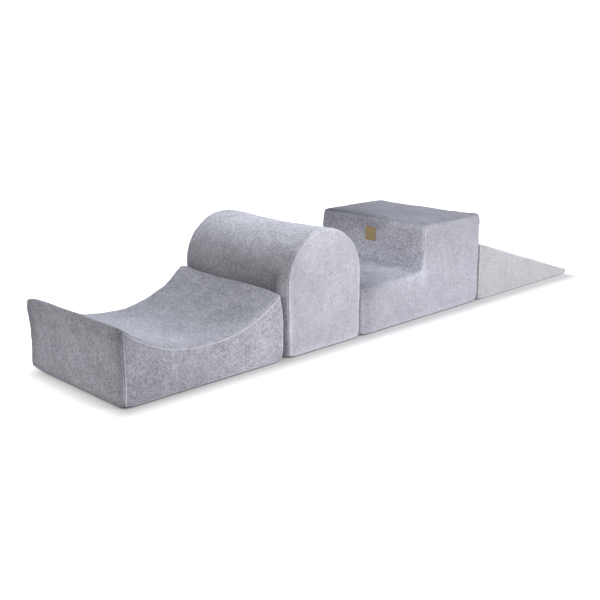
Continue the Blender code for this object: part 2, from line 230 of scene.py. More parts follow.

# Patches of painted light and shade on the pile, as gains of its tone: painted shade
# where the blocks shade themselves and each other, along their feet and away from the
# lamps, and painted light along edges, in grooves and in creases.
PAINTED_LIGHT_PATCHES = (
    Patch("valley", (0.10, 0.0, 0.3), (0.45, 0.08, 0.40), -0.18),
    Patch("valley", (0.35, 0.0, 0.25), (0.20, 0.05, 0.10), -0.06),
    Patch("valley", (0.00, 0.5, 0.2), (0.03, 0.50, 0.12), 0.12),
    Patch("valley", (0.00, 1.0, 0.6), (0.04, 0.12, 0.30), -0.15),
    Patch("valley", (0.00, 1.0, 0.5), (0.03, 0.04, 0.25), -0.35),
    Patch("valley", (0.00, 0.5, 0.0), (0.03, 9.00, 0.012), -0.40),
    Patch("valley", (0.00, 0.1, 0.4), (0.03, 0.12, 0.10), -0.07),
    Patch("valley", (0.00, 0.0, 0.6), (0.010, 0.030, 0.30), -0.25),
    Patch("valley", (0.00, 0.0, 0.4), (0.006, 0.006, 0.20), 0.60),
    Patch("valley", (0.00, 0.2, 1.0), (0.050, 0.180, 0.07), -0.13),
    Patch("valley", (0.00, 0.6, 0.9), (0.040, 0.500, 0.10), -0.13),
    Patch("valley", (0.35, 0.3, 0.5), (0.20, 0.40, 0.10), 0.24),
    Patch("valley", (0.80, 0.3, 0.8), (0.15, 0.20, 0.12), -0.09),
    Patch("valley", (0.85, 0.0, 0.4), (0.22, 0.08, 0.30), 0.23),
    Patch("hump", (0.40, 0.4, 1.0), (0.16, 0.60, 0.12), 0.48),
    Patch("hump", (0.50, 0.0, 0.88), (0.16, 0.030, 0.10), -0.08),
    Patch("hump", (0.05, 0.0, 0.75), (0.08, 0.030, 0.15), -0.05),
    Patch("hump", (0.50, 0.0, 0.00), (0.60, 0.030, 0.02), 0.30),
    Patch("hump", (1.00, 0.0, 0.35), (0.012, 0.020, 0.30), 0.45),
    Patch("hump", (0.55, 0.0, 0.40), (0.20, 0.030, 0.18), 0.15),
    Patch("hump", (0.00, 0.05, 0.30), (0.03, 0.035, 0.15), 0.95),
    Patch("hump", (0.06, 0.0, 0.30), (0.03, 0.015, 0.22), -0.14),
    Patch("hump", (0.00, 0.10, 0.58), (0.04, 0.025, 0.07), -0.30),
    Patch("hump", (0.00, 0.25, 0.64), (0.08, 0.130, 0.06), -0.17),
    Patch("steps", (0.00, 0.5, 0.5), (0.12, 0.60, 0.05), -0.42),
    Patch("steps", (0.40, 0.4, 0.5), (0.15, 0.40, 0.05), 0.32),
    Patch("steps", (0.00, 0.0, 0.22), (0.07, 0.08, 0.13), -0.20),
    Patch("steps", (1.00, 0.0, 0.92), (0.06, 0.03, 0.08), -0.09),
    Patch("steps", (0.50, 0.0, 0.20), (0.35, 0.08, 0.12), 0.09),
    Patch("steps", (0.48, 0.9, 1.0), (0.20, 0.40, 0.06), -0.42),
    Patch("steps", (0.52, 0.2, 1.0), (0.12, 0.25, 0.025), 0.16),
    Patch("steps", (0.494, 0.5, 0.5), (0.03, 0.60, 0.03), 0.15),
    Patch("steps", (0.50, 0.0, 0.00), (0.60, 0.030, 0.02), 0.18),
    Patch("steps", (0.00, 0.0, 0.25), (0.008, 0.020, 0.20), 0.45),
    Patch("steps", (0.75, 0.0, 0.9), (0.30, 0.08, 0.10), -0.10),
    Patch("steps", (0.494, 0.0, 0.75), (0.012, 0.014, 0.13), 0.35),
    Patch("steps", (0.494, 1.0, 0.90), (0.05, 0.300, 0.08), -0.34),
    Patch("steps", (0.494, 0.45, 0.93), (0.03, 0.120, 0.03), -0.12),
)


class BlockSizes(PropertyGroup):
    """Sizes of the blocks that their boxes don't give."""

    valley_low_height: FloatProperty(
        name="Valley low point",
        description="Height of the lowest point of the valley's dip",
        default=0.138,
        unit="LENGTH",
    )
    valley_lip_radius: FloatProperty(
        name="Valley lips",
        description="Rounding of the valley's two lips",
        default=0.006,
        unit="LENGTH",
    )
    tread_height: FloatProperty(
        name="Low tread height",
        description="Height of the low tread of the steps",
        default=0.200,
        unit="LENGTH",
    )
    tread_depth: FloatProperty(
        name="Low tread depth",
        description="Depth of the low tread, from its front to the riser",
        default=0.390,
        unit="LENGTH",
    )
    crease_radius: FloatProperty(
        name="Crease",
        description="Rounding where the low tread meets the riser",
        default=0.006,
        unit="LENGTH",
    )
    nose_height: FloatProperty(
        name="Wedge nose",
        description="Height of the wedge's thin end",
        default=0.016,
        unit="LENGTH",
    )
    nose_rounding: FloatProperty(
        name="Nose rounding",
        description="Rounding of the wedge's edges as a share of its nose",
        default=0.45,
        subtype="FACTOR",
    )
    edge_radius: FloatProperty(
        name="Edges",
        description="Rounding of the blocks' edges",
        default=0.010,
        unit="LENGTH",
    )


class CoverSizes(PropertyGroup):
    """How the sewn covers lie over the foam."""

    grid: FloatProperty(
        name="Grid",
        description="Spacing of the cloth's grid",
        default=0.012,
        unit="LENGTH",
    )
    thickness: FloatProperty(
        name="Cloth thickness",
        description="Thickness of the velvet with its pile",
        default=0.0015,
        unit="LENGTH",
    )
    roll: FloatProperty(
        name="Seam roll",
        description="Radius of the roll that turns a panel's edge into its seam",
        default=0.0025,
        unit="LENGTH",
    )
    seam_depth: FloatProperty(
        name="Seam depth",
        description="How deep a panel's edge goes into its seam",
        default=0.004,
        unit="LENGTH",
    )
    seam_gap: FloatProperty(
        name="Seam gap",
        description="Half the gap between two panels in their seam",
        default=0.0003,
        unit="LENGTH",
    )
    crown: FloatProperty(
        name="Crown",
        description="How far the cloth may swell between its seams",
        default=0.004,
        unit="LENGTH",
    )
    end_crown: FloatProperty(
        name="End crown",
        description="How far the upright ends may swell towards the next block",
        default=0.0012,
        unit="LENGTH",
    )
    wave: FloatProperty(
        name="Waves",
        description="Height of the long waves in the cloth",
        default=0.0007,
        unit="LENGTH",
    )
    pucker: FloatProperty(
        name="Puckers",
        description="Height of the puckers beside the seams",
        default=0.0007,
        unit="LENGTH",
    )
    corner: FloatProperty(
        name="Corner rounding",
        description="How far the cloth cuts across the blocks' corners",
        default=0.006,
        unit="LENGTH",
    )
    corner_reach: FloatProperty(
        name="Corner reach",
        description="How far from a corner its rounding fades out",
        default=0.018,
        unit="LENGTH",
    )
    calm_reach: FloatProperty(
        name="Calm reach",
        description="How far from the zip, the tag and the floor the cloth lies flat",
        default=0.035,
        unit="LENGTH",
    )
    evening: IntProperty(
        name="Evening",
        description="How many times the swelling is evened out among neighbours",
        default=4,
    )
    frames: IntProperty(
        name="Frames",
        description="Frames that the cloth is swelled for",
        default=14,
    )
    pressure: FloatProperty(
        name="Pressure",
        description="Pressure under the cloth",
        default=4.0,
    )


class VelvetLook(PropertyGroup):
    """Colours and pile of the velvet, and the light and shade painted on it."""

    light: FloatVectorProperty(
        name="Light pile",
        description="Colour of the pile where it opens to the light",
        default=(0.55, 0.55, 0.615),
        subtype="COLOR",
    )
    dark: FloatVectorProperty(
        name="Dark pile",
        description="Colour of the pile where it closes",
        default=(0.22, 0.22, 0.255),
        subtype="COLOR",
    )
    sheen: FloatProperty(
        name="Sheen",
        description="Weight of the pile's sheen",
        default=0.30,
        subtype="FACTOR",
    )
    mottling: FloatVectorProperty(
        name="Mottling",
        description="Strength of the brushed patches, the tufts, the curls and the fibres",
        default=(0.6, 0.75, 1.5, 2.4),
        size=4,
    )
    # These four gains paint light and shade by facing: what faces back along the row, up
    # and sideways is made paler or darker as the light falls on it.
    valley_nap: FloatVectorProperty(
        name="Valley nap",
        description="Tone gained where the pile faces back along the row, up and sideways",
        default=(0.0, 0.0, 0.0),
    )
    hump_nap: FloatVectorProperty(
        name="Hump nap",
        description="Tone gained where the pile faces back along the row, up and sideways",
        default=(-0.24, 0.40, 0.14),
    )
    steps_nap: FloatVectorProperty(
        name="Steps nap",
        description="Tone gained where the pile faces back along the row, up and sideways",
        default=(0.54, -0.28, 0.06),
    )
    wedge_nap: FloatVectorProperty(
        name="Wedge nap",
        description="Tone gained where the pile faces back along the row, up and sideways",
        default=(0.0, 0.0, 0.16),
    )
    side_contrast: FloatVectorProperty(
        name="Side contrast",
        description="Strength of the mottling on each block's side panels, along the row",
        default=(1.0, 0.55, 0.65, 0.5),
        size=4,
    )
    strip_contrast: FloatVectorProperty(
        name="Strip contrast",
        description="The same for the top strips",
        default=(1.15, 0.95, 1.2, 0.6),
        size=4,
    )
    sheen_tint: FloatVectorProperty(
        name="Sheen tint",
        description="Colour of the pile's sheen",
        default=(0.80, 0.82, 1.0),
        subtype="COLOR",
    )
    # A share of blue that the panels of each block keep, set block by block.
    side_dye: FloatVectorProperty(
        name="Side dye",
        description="Share of blue that each block's side panels keep, along the row",
        default=(1.0, 0.98, 1.0, 0.93),
        size=4,
    )
    strip_dye: FloatVectorProperty(
        name="Strip dye",
        description="The same for the top strips",
        default=(1.0, 0.98, 1.0, 0.93),
        size=4,
    )
    # Painted light that lifts the bottom of a seam out of the shade of its groove.
    groove_painted_light: FloatProperty(
        name="Seam tone",
        description="Tone of the open pile in the bottom of a seam",
        default=1.3,
    )
    # Painted highlight beside the seams, where the rolled edges catch the light and the
    # pile opens; the strips have their own.
    side_light: FloatVectorProperty(
        name="Side light",
        description="Tone that each block's sides gain where the pile is open at a seam",
        default=(0.36, 0.12, 0.05, 0.35),
        size=4,
    )
    strip_light: FloatVectorProperty(
        name="Strip light",
        description="The same for the top strips",
        default=(0.08, 0.10, 0.02, 0.12),
        size=4,
    )


class ZipSizes(PropertyGroup):
    """Sizes of the zips' coils, sliders and pulls, and of the slots that they lie in."""

    lip_depth: FloatProperty(
        name="Lip depth",
        description="How deep the velvet is turned in round the slot",
        default=0.0018,
        unit="LENGTH",
    )
    hem: FloatProperty(
        name="Hem",
        description="Width of the band that is pressed flat round the slot",
        default=0.0020,
        unit="LENGTH",
    )
    pitch: FloatProperty(
        name="Coil pitch",
        description="Length of one turn of a coil",
        default=0.0020,
        unit="LENGTH",
    )
    wire: FloatProperty(
        name="Coil wire",
        description="Radius of the coil's wire",
        default=0.00032,
        unit="LENGTH",
    )
    overlap: FloatProperty(
        name="Coil overlap",
        description="How far each coil reaches over the middle of the zip",
        default=0.0007,
        unit="LENGTH",
    )
    pull_length: FloatProperty(
        name="Pull length",
        description="Length of the slider's pull",
        default=0.017,
        unit="LENGTH",
    )
    pull_width: FloatProperty(
        name="Pull width",
        description="Width of the slider's pull at its end",
        default=0.0056,
        unit="LENGTH",
    )
    pull_thickness: FloatProperty(
        name="Pull thickness",
        description="Thickness of the slider's pull",
        default=0.0011,
        unit="LENGTH",
    )
    bridge: FloatProperty(
        name="Bridge",
        description="How far the slider's bridge stands off its body",
        default=0.0024,
        unit="LENGTH",
    )


class TagSizes(PropertyGroup):
    """Sizes and colours of the leather tag."""

    corner: FloatProperty(
        name="Corner",
        description="Rounding of the tag's corners",
        default=0.005,
        unit="LENGTH",
    )
    stitch_inset: FloatProperty(
        name="Stitch line",
        description="How far the stitches lie from the tag's edge",
        default=0.0032,
        unit="LENGTH",
    )
    stitch_length: FloatProperty(
        name="Stitch length",
        description="Length of a stitch",
        default=0.0030,
        unit="LENGTH",
    )
    stitch_space: FloatProperty(
        name="Stitch space",
        description="Space between two stitches",
        default=0.0013,
        unit="LENGTH",
    )
    thread: FloatProperty(
        name="Thread",
        description="Radius of the thread",
        default=0.00035,
        unit="LENGTH",
    )
    light: FloatVectorProperty(
        name="Light tan",
        description="Colour of the leather where it is worn",
        default=(0.56, 0.41, 0.20),
        subtype="COLOR",
    )
    dark: FloatVectorProperty(
        name="Dark tan",
        description="Colour of the leather in its grain and at its edge",
        default=(0.33, 0.235, 0.10),
        subtype="COLOR",
    )


class CoreSizes(PropertyGroup):
    """How the foam cores fill their covers."""

    grid: FloatProperty(
        name="Grid",
        description="Spacing of the core's grid",
        default=0.020,
        unit="LENGTH",
    )
    draw_in: FloatProperty(
        name="Draw in",
        description="How far the core's faces lie inside the outside of its cover",
        default=0.0060,
        unit="LENGTH",
    )
    colour: FloatVectorProperty(
        name="Foam",
        description="Colour of the foam",
        default=(0.80, 0.74, 0.58),
        subtype="COLOR",
    )


class StageLook(PropertyGroup):
    """Camera, floor and lamps."""

    floor_tone: FloatProperty(
        name="Floor",
        description="Tone of the floor",
        default=0.68,
        subtype="FACTOR",
    )
    floor_glow: FloatProperty(
        name="Floor glow",
        description="White that the camera sees on the floor inside its shade",
        default=0.07,
        subtype="FACTOR",
    )
    shade_start: FloatVectorProperty(
        name="Shade start",
        description="How far the floor's shade starts outside the row at -X and -Y",
        default=(-0.004, 0.027),
        size=2,
        subtype="TRANSLATION",
    )
    shade_end: FloatVectorProperty(
        name="Shade end",
        description="How far the floor's shade ends inside the row at +X and +Y",
        default=(0.07, 0.12),
        size=2,
        subtype="TRANSLATION",
    )
    shade_turn: FloatProperty(
        name="Shade turn",
        description="Turn of the floor's shade, which widens towards the wedge",
        default=0.015,
        subtype="ANGLE",
    )
    glow_reach: FloatProperty(
        name="Glow reach",
        description="How far outside the shade the camera sees nothing but white",
        default=0.14,
        unit="LENGTH",
    )
    fill: FloatProperty(
        name="Fill",
        description="Strength of the even light from all round",
        default=0.45,
    )

    camera_place: FloatVectorProperty(
        name="Camera",
        description="Place of the camera",
        default=(-2.7752, -2.5790, 1.0436),
        subtype="TRANSLATION",
    )
    camera_target: FloatVectorProperty(
        name="Target",
        description="Point that the camera looks at",
        default=(-0.5409, -0.2572, 0.2000),
        subtype="TRANSLATION",
    )
    camera_roll: FloatProperty(
        name="Roll",
        description="Turn of the camera about its line of sight",
        default=-0.0095,
        subtype="ANGLE",
    )
    lens: FloatProperty(
        name="Lens",
        description="Focal length in millimetres, on a 36 mm frame",
        default=53.33,
    )


def unit(vectors):
    """Vectors over their lengths."""
    lengths = np.linalg.norm(vectors, axis=-1, keepdims=True)
    return vectors / np.maximum(lengths, LEAST_LENGTH)


def running_total(steps):
    """Length gone at each place of a path, from the steps between them."""
    return np.concatenate(([0], np.cumsum(steps)))


def corner_arc(before, corner, after, radius, inset):
    """Arc that rounds a corner of an anticlockwise outline drawn in by an inset.

    Points are complex numbers, X + iZ. The centre lies where the two sides, moved
    in by the radius, cross: the corner plus the sum of the inward normals over one
    plus their dot product, times the radius.
    """
    first = (corner - before) / abs(corner - before)
    second = (after - corner) / abs(after - corner)
    inward_first, inward_second = first * 1j, second * 1j
    turn = np.angle(second / first)
    dot = (inward_first * np.conj(inward_second)).real
    reach = (inward_first + inward_second) / (1 + dot)
    if turn > 0:
        held = max(radius, inset + LEAST_RADIUS)
        return Arc(corner + reach * held, held - inset, np.angle(-inward_first), turn)
    return Arc(corner - reach * radius, radius + inset, np.angle(inward_first), turn)


def polygon_arcs(corners, inset):
    """Arcs at the corners of a polygon, from a list of (place, radius)."""
    places = [place for place, _ in corners]
    count = len(places)
    return [
        corner_arc(places[i - 1], places[i], places[(i + 1) % count], corners[i][1], inset)
        for i in range(count)
    ]


def valley_arcs(length, height, sizes, inset):
    """Two feet, the right lip, the dip and the left lip.

    The dip is a circle over the low point that touches both lip circles from
    outside, so the distance of their centres is the sum of their radii.
    """
    lip, low = sizes.valley_lip_radius, sizes.valley_low_height
    across, down = length / 2 - lip, low - height + lip
    radius = (across**2 + down**2 - lip**2) / (2 * (height - low))
    centre = length / 2 + 1j * (low + radius)
    held = max(lip, inset + LEAST_RADIUS)
    across = length / 2 - held
    lip_height = centre.imag - math.sqrt((radius + held) ** 2 - across**2)
    towards = np.angle(centre - (length - held + 1j * lip_height))
    feet = [(0j, sizes.edge_radius), (length + 0j, sizes.edge_radius)]
    top = [(length + 1j * height, 0), (1j * height, 0)]
    right_lip = Arc(length - held + 1j * lip_height, held - inset, 0, towards)
    left_lip = Arc(held + 1j * lip_height, held - inset, math.pi - towards, towards)
    start = towards - math.pi
    dip = Arc(centre, radius + inset, start, -math.pi - 2 * start)
    return polygon_arcs(feet + top, inset)[:2] + [right_lip, dip, left_lip]


def hump_arcs(length, height, sizes, inset):
    """Two feet and the two halves of a half-round top."""
    foot = sizes.edge_radius
    corners = [
        (0j, foot),
        (length + 0j, foot),
        (length + 1j * height, length / 2),
        (1j * height, length / 2),
    ]
    return polygon_arcs(corners, inset)


def steps_arcs(length, height, sizes, inset):
    """The six corners of the steps; the low tread is at the start."""
    edge, depth, tread = sizes.edge_radius, sizes.tread_depth, sizes.tread_height
    corners = [
        (0j, edge),
        (length + 0j, edge),
        (length + 1j * height, edge),
        (depth + 1j * height, edge),
        (depth + 1j * tread, sizes.crease_radius),
        (1j * tread, edge),
    ]
    return polygon_arcs(corners, inset)


def wedge_radius(sizes):
    """Rounding of the wedge's edges, held to what its nose leaves room for."""
    return min(sizes.edge_radius, sizes.nose_rounding * sizes.nose_height)


def wedge_arcs(length, height, sizes, inset):
    """The four corners of the wedge; its nose is at the end."""
    radius = wedge_radius(sizes)
    places = (0j, length + 0j, length + 1j * sizes.nose_height, 1j * height)
    return polygon_arcs([(place, radius) for place in places], inset)


def on_arc(number, share=0.5):
    """Index of a place on an arc among an outline's points."""
    return number * (ARC_STEPS + 1) + share * ARC_STEPS


def after_arc(number, share):
    """Index of a place on the straight run that follows an arc."""
    return number * (ARC_STEPS + 1) + ARC_STEPS + share


OUTLINES = {
    "valley": (valley_arcs, (on_arc(0), on_arc(1), on_arc(2), on_arc(4))),
    "hump": (hump_arcs, (on_arc(0), on_arc(1), on_arc(2), on_arc(3))),
    "steps": (steps_arcs, (on_arc(0), on_arc(1), on_arc(2), on_arc(5))),
    "wedge": (wedge_arcs, (on_arc(0), on_arc(1), after_arc(2, 0.25), on_arc(3))),
}


def find_block(name, sizes):
    """A block's box from its cover's nodes, and its outline."""
    corners = np.array([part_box(f"{name}_{node}") for node in PANEL_NODES.values()])
    low, high = corners[:, 0].min(axis=0), corners[:, 1].max(axis=0)
    length, height = high[0] - low[0], high[2] - low[2]
    shape, marks = OUTLINES[name]
    rim = wedge_radius(sizes) if name == "wedge" else sizes.edge_radius
    lean = STEPS_GRID_LEAN if name == "steps" else 0

    def arcs(inset):
        return shape(length, height, sizes, inset)

    return Block(name, low, high, arcs, marks, rim, lean)


def outline(arcs):
    """Points along a chain of arcs.

    A point is the arc's centre plus its radius turned by its start angle and an
    even share of its sweep. Straight runs are the steps from arc to arc.
    """
    shares = np.linspace(0, 1, ARC_STEPS + 1)
    angles = (arc.start + arc.sweep * shares for arc in arcs)
    runs = [
        arc.centre + arc.radius * np.exp(1j * angle) for arc, angle in zip(arcs, angles)
    ]
    return np.concatenate(runs)


def read_outline(points, places):
    """Points of a closed outline, gone round twice, at fractional indices."""
    twice = np.concatenate((points, points))
    index = np.arange(len(twice))
    return np.interp(places, index, twice.real) + 1j * np.interp(places, index, twice.imag)


def spread(arcs, marks, grid):
    """Places along an outline, as indices into its points, even from mark to mark.

    Small arcs are counted several times over, so that they get enough places. After
    the places come how many lie along the first and the second of the four spans.
    """
    points = outline(arcs)
    twice = np.concatenate((points, points))
    crowd = []
    for arc in arcs:
        bend = arc.radius * abs(arc.sweep)
        crowd += [max(1.0, LEAST_ARC_PLACES * grid / bend)] * ARC_STEPS + [1.0]
    crowd = np.array(crowd * 2)[:-1]
    measure = running_total(np.maximum(abs(np.diff(twice)), LEAST_STEP) * crowd)
    index = np.arange(len(twice))
    marks = np.interp([*marks, marks[0] + len(points)], index, measure)
    spans = np.diff(marks)
    along, up = (max(1, round(max(spans[i], spans[i + 2]) / grid)) for i in (0, 1))
    counts = (along, up, along, up)
    targets = [
        np.linspace(marks[i], marks[i + 1], counts[i], endpoint=False) for i in range(4)
    ]
    return np.interp(np.concatenate(targets), measure, index), along, up


def lay_out(block, sizes, grid):
    """Places along a block's outline, and how many go along and up.

    Places on the steps' floor lie under those of the treads, and lean towards the
    middle where the high tread starts.
    """
    places, along, up = spread(block.arcs(0), block.marks, grid)
    if block.lean:
        points = outline(block.arcs(0))
        tops = read_outline(points, places[along + up : 2 * along + up])
        x, z = tops.real, tops.imag
        rise = np.clip((z - sizes.tread_height) / (z.max() - sizes.tread_height), 0, 1)
        rest = np.clip((x.max() - x) / (x.max() - sizes.tread_depth), 0, 1)
        under = (x + block.lean * rise * rest)[::-1]
        floor = np.arange(*(int(mark) for mark in block.marks[:2]))
        places[1:along] = np.interp(under[:-1], points.real[floor], floor)
    return places, along, up


def length_shares(path):
    """Share of a path's length that is gone at each of its points."""
    travel = running_total(np.linalg.norm(np.diff(path, axis=0), axis=1))
    return travel / travel[-1]


def fill_ring(ring, along, up):
    """Grid of points inside a closed ring of points, as a Coons patch.

    A point is the blend of the lower and upper edges, plus the blend of the left and
    right edges, less the blend of the four corners. The blends go by the mean share
    of the length of the two edges that run the same way.
    """
    lower = ring[: along + 1]
    right = ring[along : along + up + 1]
    upper = ring[along + up : 2 * along + up + 1][::-1]
    left = np.concatenate((ring[2 * along + up :], ring[:1]))[::-1]
    u = (length_shares(lower) + length_shares(upper))[None, :, None] / 2
    v = (length_shares(left) + length_shares(right))[:, None, None] / 2
    corners = (1 - v) * ((1 - u) * lower[0] + u * lower[-1])
    corners = corners + v * ((1 - u) * upper[0] + u * upper[-1])
    edges = (1 - v) * lower + v * upper + (1 - u) * left[:, None] + u * right[:, None]
    return edges - corners


def quads_of(index):
    """Quads between the neighbours of a grid of vertex numbers."""
    corners = (index[:-1, :-1], index[:-1, 1:], index[1:, 1:], index[1:, :-1])
    return np.stack([corner.ravel() for corner in corners], axis=1)


def patch_index(ring, along, up, first):
    """Vertex numbers of a filled ring: its edge from the ring, its middle counted on."""
    index = np.empty((up + 1, along + 1), dtype=int)
    index[0] = ring[: along + 1]
    index[:, -1] = ring[along : along + up + 1]
    index[-1] = ring[along + up : 2 * along + up + 1][::-1]
    index[1:, 0] = ring[2 * along + up :][::-1]
    middle = (up - 1) * (along - 1)
    index[1:-1, 1:-1] = first + np.arange(middle).reshape(up - 1, along - 1)
    return index


def make_shell(rings, along, up):
    """Closed surface of rings of points, with a filled patch in its first and last ring."""
    count = rings.shape[0] * rings.shape[1]
    filled = (fill_ring(ring, along, up) for ring in rings[[0, -1]])
    insides = [grid[1:-1, 1:-1].reshape(-1, 3) for grid in filled]
    sleeve = np.arange(count).reshape(rings.shape[:2])
    near = patch_index(sleeve[0], along, up, count)
    far = patch_index(sleeve[-1], along, up, count + len(insides[0]))
    closed = np.concatenate((sleeve, sleeve[:, :1]), axis=1)
    quads = (quads_of(closed)[:, ::-1], quads_of(near), quads_of(far)[:, ::-1])
    points = np.concatenate([rings.reshape(-1, 3), *insides])
    return Shell(points, np.concatenate(quads), sleeve, near, far)


def make_body(block, sizes, grid, inside=0.0):
    """Closed surface round a block, or a given way inside it.

    Its rings run round the block. On a rim at angle a the outline is drawn in by
    rim - rim cos a, and lies half the width - rim + rim sin a off the middle.
    """
    places, along, up = lay_out(block, sizes, grid)
    half = (block.high[1] - block.low[1]) / 2 - inside
    middle = (block.high[1] + block.low[1]) / 2
    rim = max(block.rim - inside, LEAST_RADIUS)
    rim_angles = np.linspace(QUARTER_TURN, 0, RIM_STEPS + 1)
    flat = half - rim
    inner = np.linspace(-flat, flat, round(2 * flat / grid) + 1)[1:-1]
    insets = rim - rim * np.cos(rim_angles) + inside
    across = flat + rim * np.sin(rim_angles)
    insets = np.concatenate((insets, 0 * inner + inside, insets[::-1]))
    across = np.concatenate((-across, inner, across[::-1]))
    rings = {
        inset: read_outline(outline(block.arcs(inset)), places) for inset in set(insets)
    }
    rows = np.array([rings[inset] for inset in insets]) + block.low[0] + 1j * block.low[2]
    depth = np.broadcast_to(middle + across[:, None], rows.shape)
    points = np.stack((rows.real, depth, rows.imag), axis=-1)
    return make_shell(points, along, up), along, up


def new_mesh(name, points, quads, place=None, seam=None, nap=None):
    """Mesh of quads, with its cloth place, seam distance and painted light."""
    mesh = bpy.data.meshes.new(name)
    corners = np.ascontiguousarray(quads, dtype=np.int32).ravel()
    starts = np.arange(0, quads.size, quads.shape[1], dtype=np.int32)
    mesh.vertices.add(len(points))
    mesh.vertices.foreach_set("co", np.ascontiguousarray(points, dtype=np.float32).ravel())
    mesh.loops.add(quads.size)
    mesh.loops.foreach_set("vertex_index", corners)
    mesh.polygons.add(len(quads))
    mesh.polygons.foreach_set("loop_start", starts)
    mesh.update(calc_edges=True)
    if place is not None:
        layer = mesh.uv_layers.new(name="cloth")
        layer.uv.foreach_set("vector", place[corners].astype(np.float32).ravel())
    for title, values in (("seam", seam), ("nap", nap)):
        if values is not None:
            attribute = mesh.attributes.new(title, "FLOAT", "POINT")
            attribute.data.foreach_set("value", values.astype(np.float32))
    mesh.shade_smooth()
    return mesh


def new_object(name, data):
    """Object at the origin for a mesh, a lamp or a camera."""
    thing = bpy.data.objects.new(name, data)
    bpy.context.scene.collection.objects.link(thing)
    return thing


def new_piece(name, material, *surface, **values):
    """Object with a mesh of one material, from what new_mesh takes."""
    mesh = new_mesh(name, *surface, **values)
    mesh.materials.append(material)
    return new_object(name, mesh)


def vertex_normals(points, quads):
    """Unit sum of the cross products of each quad's diagonals, at its four corners."""
    first, second, third, fourth = (points[quads[:, i]] for i in range(4))
    faces = np.cross(third - first, fourth - second)
    normals = np.zeros_like(points)
    for corner in range(4):
        np.add.at(normals, quads[:, corner], faces)
    return unit(normals)


def ripples(points, length, seed):
    """Smooth heights of about -1 to 1 in space.

    The sum of plane waves of about one length, each with its direction and phase
    drawn from the seed, times the root of two over their number.
    """
    random = np.random.default_rng(seed)
    directions = unit(random.normal(size=(PLANE_WAVES, 3)))
    turns = 2 * math.pi / length * random.uniform(*WAVE_SPREAD, size=(PLANE_WAVES, 1))
    phases = random.uniform(0, 2 * math.pi, size=PLANE_WAVES)
    heights = np.sin(points @ (directions * turns).T + phases).sum(axis=1)
    return heights * math.sqrt(2 / PLANE_WAVES)


def even_out(values, quads, rounds):
    """Values at the vertices after each has been averaged with its quads' corners."""
    for _ in range(rounds):
        total = np.zeros_like(values)
        count = np.zeros_like(values)
        mean = values[quads].mean(axis=1)
        for corner in range(4):
            np.add.at(total, quads[:, corner], mean)
            np.add.at(count, quads[:, corner], 1)
        values = total / count
    return values


def run_cloth(body, held, cover):
    """The body's points after its cloth was under pressure, with the held ones still."""
    mesh = new_mesh("cloth", body.points, body.quads)
    cloth_object = new_object("cloth_under_pressure", mesh)
    group = cloth_object.vertex_groups.new(name="held")
    group.add(np.flatnonzero(held).tolist(), 1.0, "REPLACE")
    cloth = cloth_object.modifiers.new("cloth", "CLOTH")
    settings = cloth.settings
    for setting, value in CLOTH_SETTINGS.items():
        setattr(settings, setting, value)
    settings.vertex_group_mass = "held"
    settings.uniform_pressure_force = cover.pressure
    settings.effector_weights.gravity = 0
    cloth.collision_settings.use_collision = False
    cloth.point_cache.frame_start = 1
    cloth.point_cache.frame_end = cover.frames
    scene = bpy.context.scene
    for number in range(1, cover.frames + 1):
        scene.frame_set(number)
    evaluated = cloth_object.evaluated_get(bpy.context.evaluated_depsgraph_get())
    moved = np.empty(len(body.points) * 3, dtype=np.float32)
    evaluated.data.vertices.foreach_get("co", moved)
    bpy.data.objects.remove(cloth_object)
    bpy.data.meshes.remove(mesh)
    scene.frame_set(1)
    return moved.reshape(-1, 3).astype(float)


def swell(body, held, calm, cover):
    """The body's points after cloth under pressure has pushed them off the foam.

    The foam keeps the cloth from going in, so a point only goes out along its normal,
    by the crown times the hyperbolic tangent of its move over twice the crown, evened
    out among its neighbours and times its calmness.
    """
    normals = vertex_normals(body.points, body.quads)
    move = ((run_cloth(body, held, cover) - body.points) * normals).sum(axis=1)
    rise = cover.crown * np.tanh(np.maximum(move, 0) / (2 * cover.crown))
    rise = np.where(held, 0, calm * even_out(rise, body.quads, cover.evening))
    return body.points + normals * rise[:, None]


def smooth_step(values):
    """Eases from 0 to 1: three times the square less twice the cube, kept to 0 to 1."""
    share = np.clip(values, 0, 1)
    return share * share * (3 - 2 * share)


def zip_slot(name):
    """Corners of the slot in a block's far side that holds its zip."""
    low, high = np.array(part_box(f"{name}_zip_lower_tape"))
    high[2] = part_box(f"{name}_zip_upper_tape")[1][2]
    high[1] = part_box(f"{name}_cover_far_side")[1][1]
    room = np.array((CLEARANCE, 0, CLEARANCE))
    return low - room, high + room


def calmness(block, points, cover):
    """From 0, where the cloth lies flat on the foam, to 1, where it is free to swell.

    It eases up with the distance from the zip's slot, from the tag and from the floor.
    """
    boxes = [zip_slot(block.name)]
    if block.name == "steps":
        boxes.append(np.array(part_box("steps_tag")))
    calm = smooth_step((points[:, 2] - block.low[2]) / cover.calm_reach)
    for low, high in boxes:
        away = np.maximum(np.maximum(low - points, points - high), 0)
        calm = calm * smooth_step(np.linalg.norm(away, axis=1) / cover.calm_reach)
    return calm


class PLAYROW_OT_stage(Operator):
    """Sets the floor, the lamps and the camera of the photograph."""

    bl_idname = "play_row.stage"
    bl_label = "Stage"

    def execute(self, context):
        look = context.scene.play_row_stage
        corners = np.array([(-1, -1, 0), (1, -1, 0), (1, 1, 0), (-1, 1, 0)])
        corners = FLOOR_SIZE / 2 * corners
        floor = new_piece("floor", floor_material(look), corners, np.arange(4)[None, :])
        make_world(context.scene, look)
        for lamp in LAMPS:
            add_lamp(lamp)
        add_camera(context.scene, look)
        context.scene.view_settings.view_transform = "Standard"
        return {"FINISHED"}


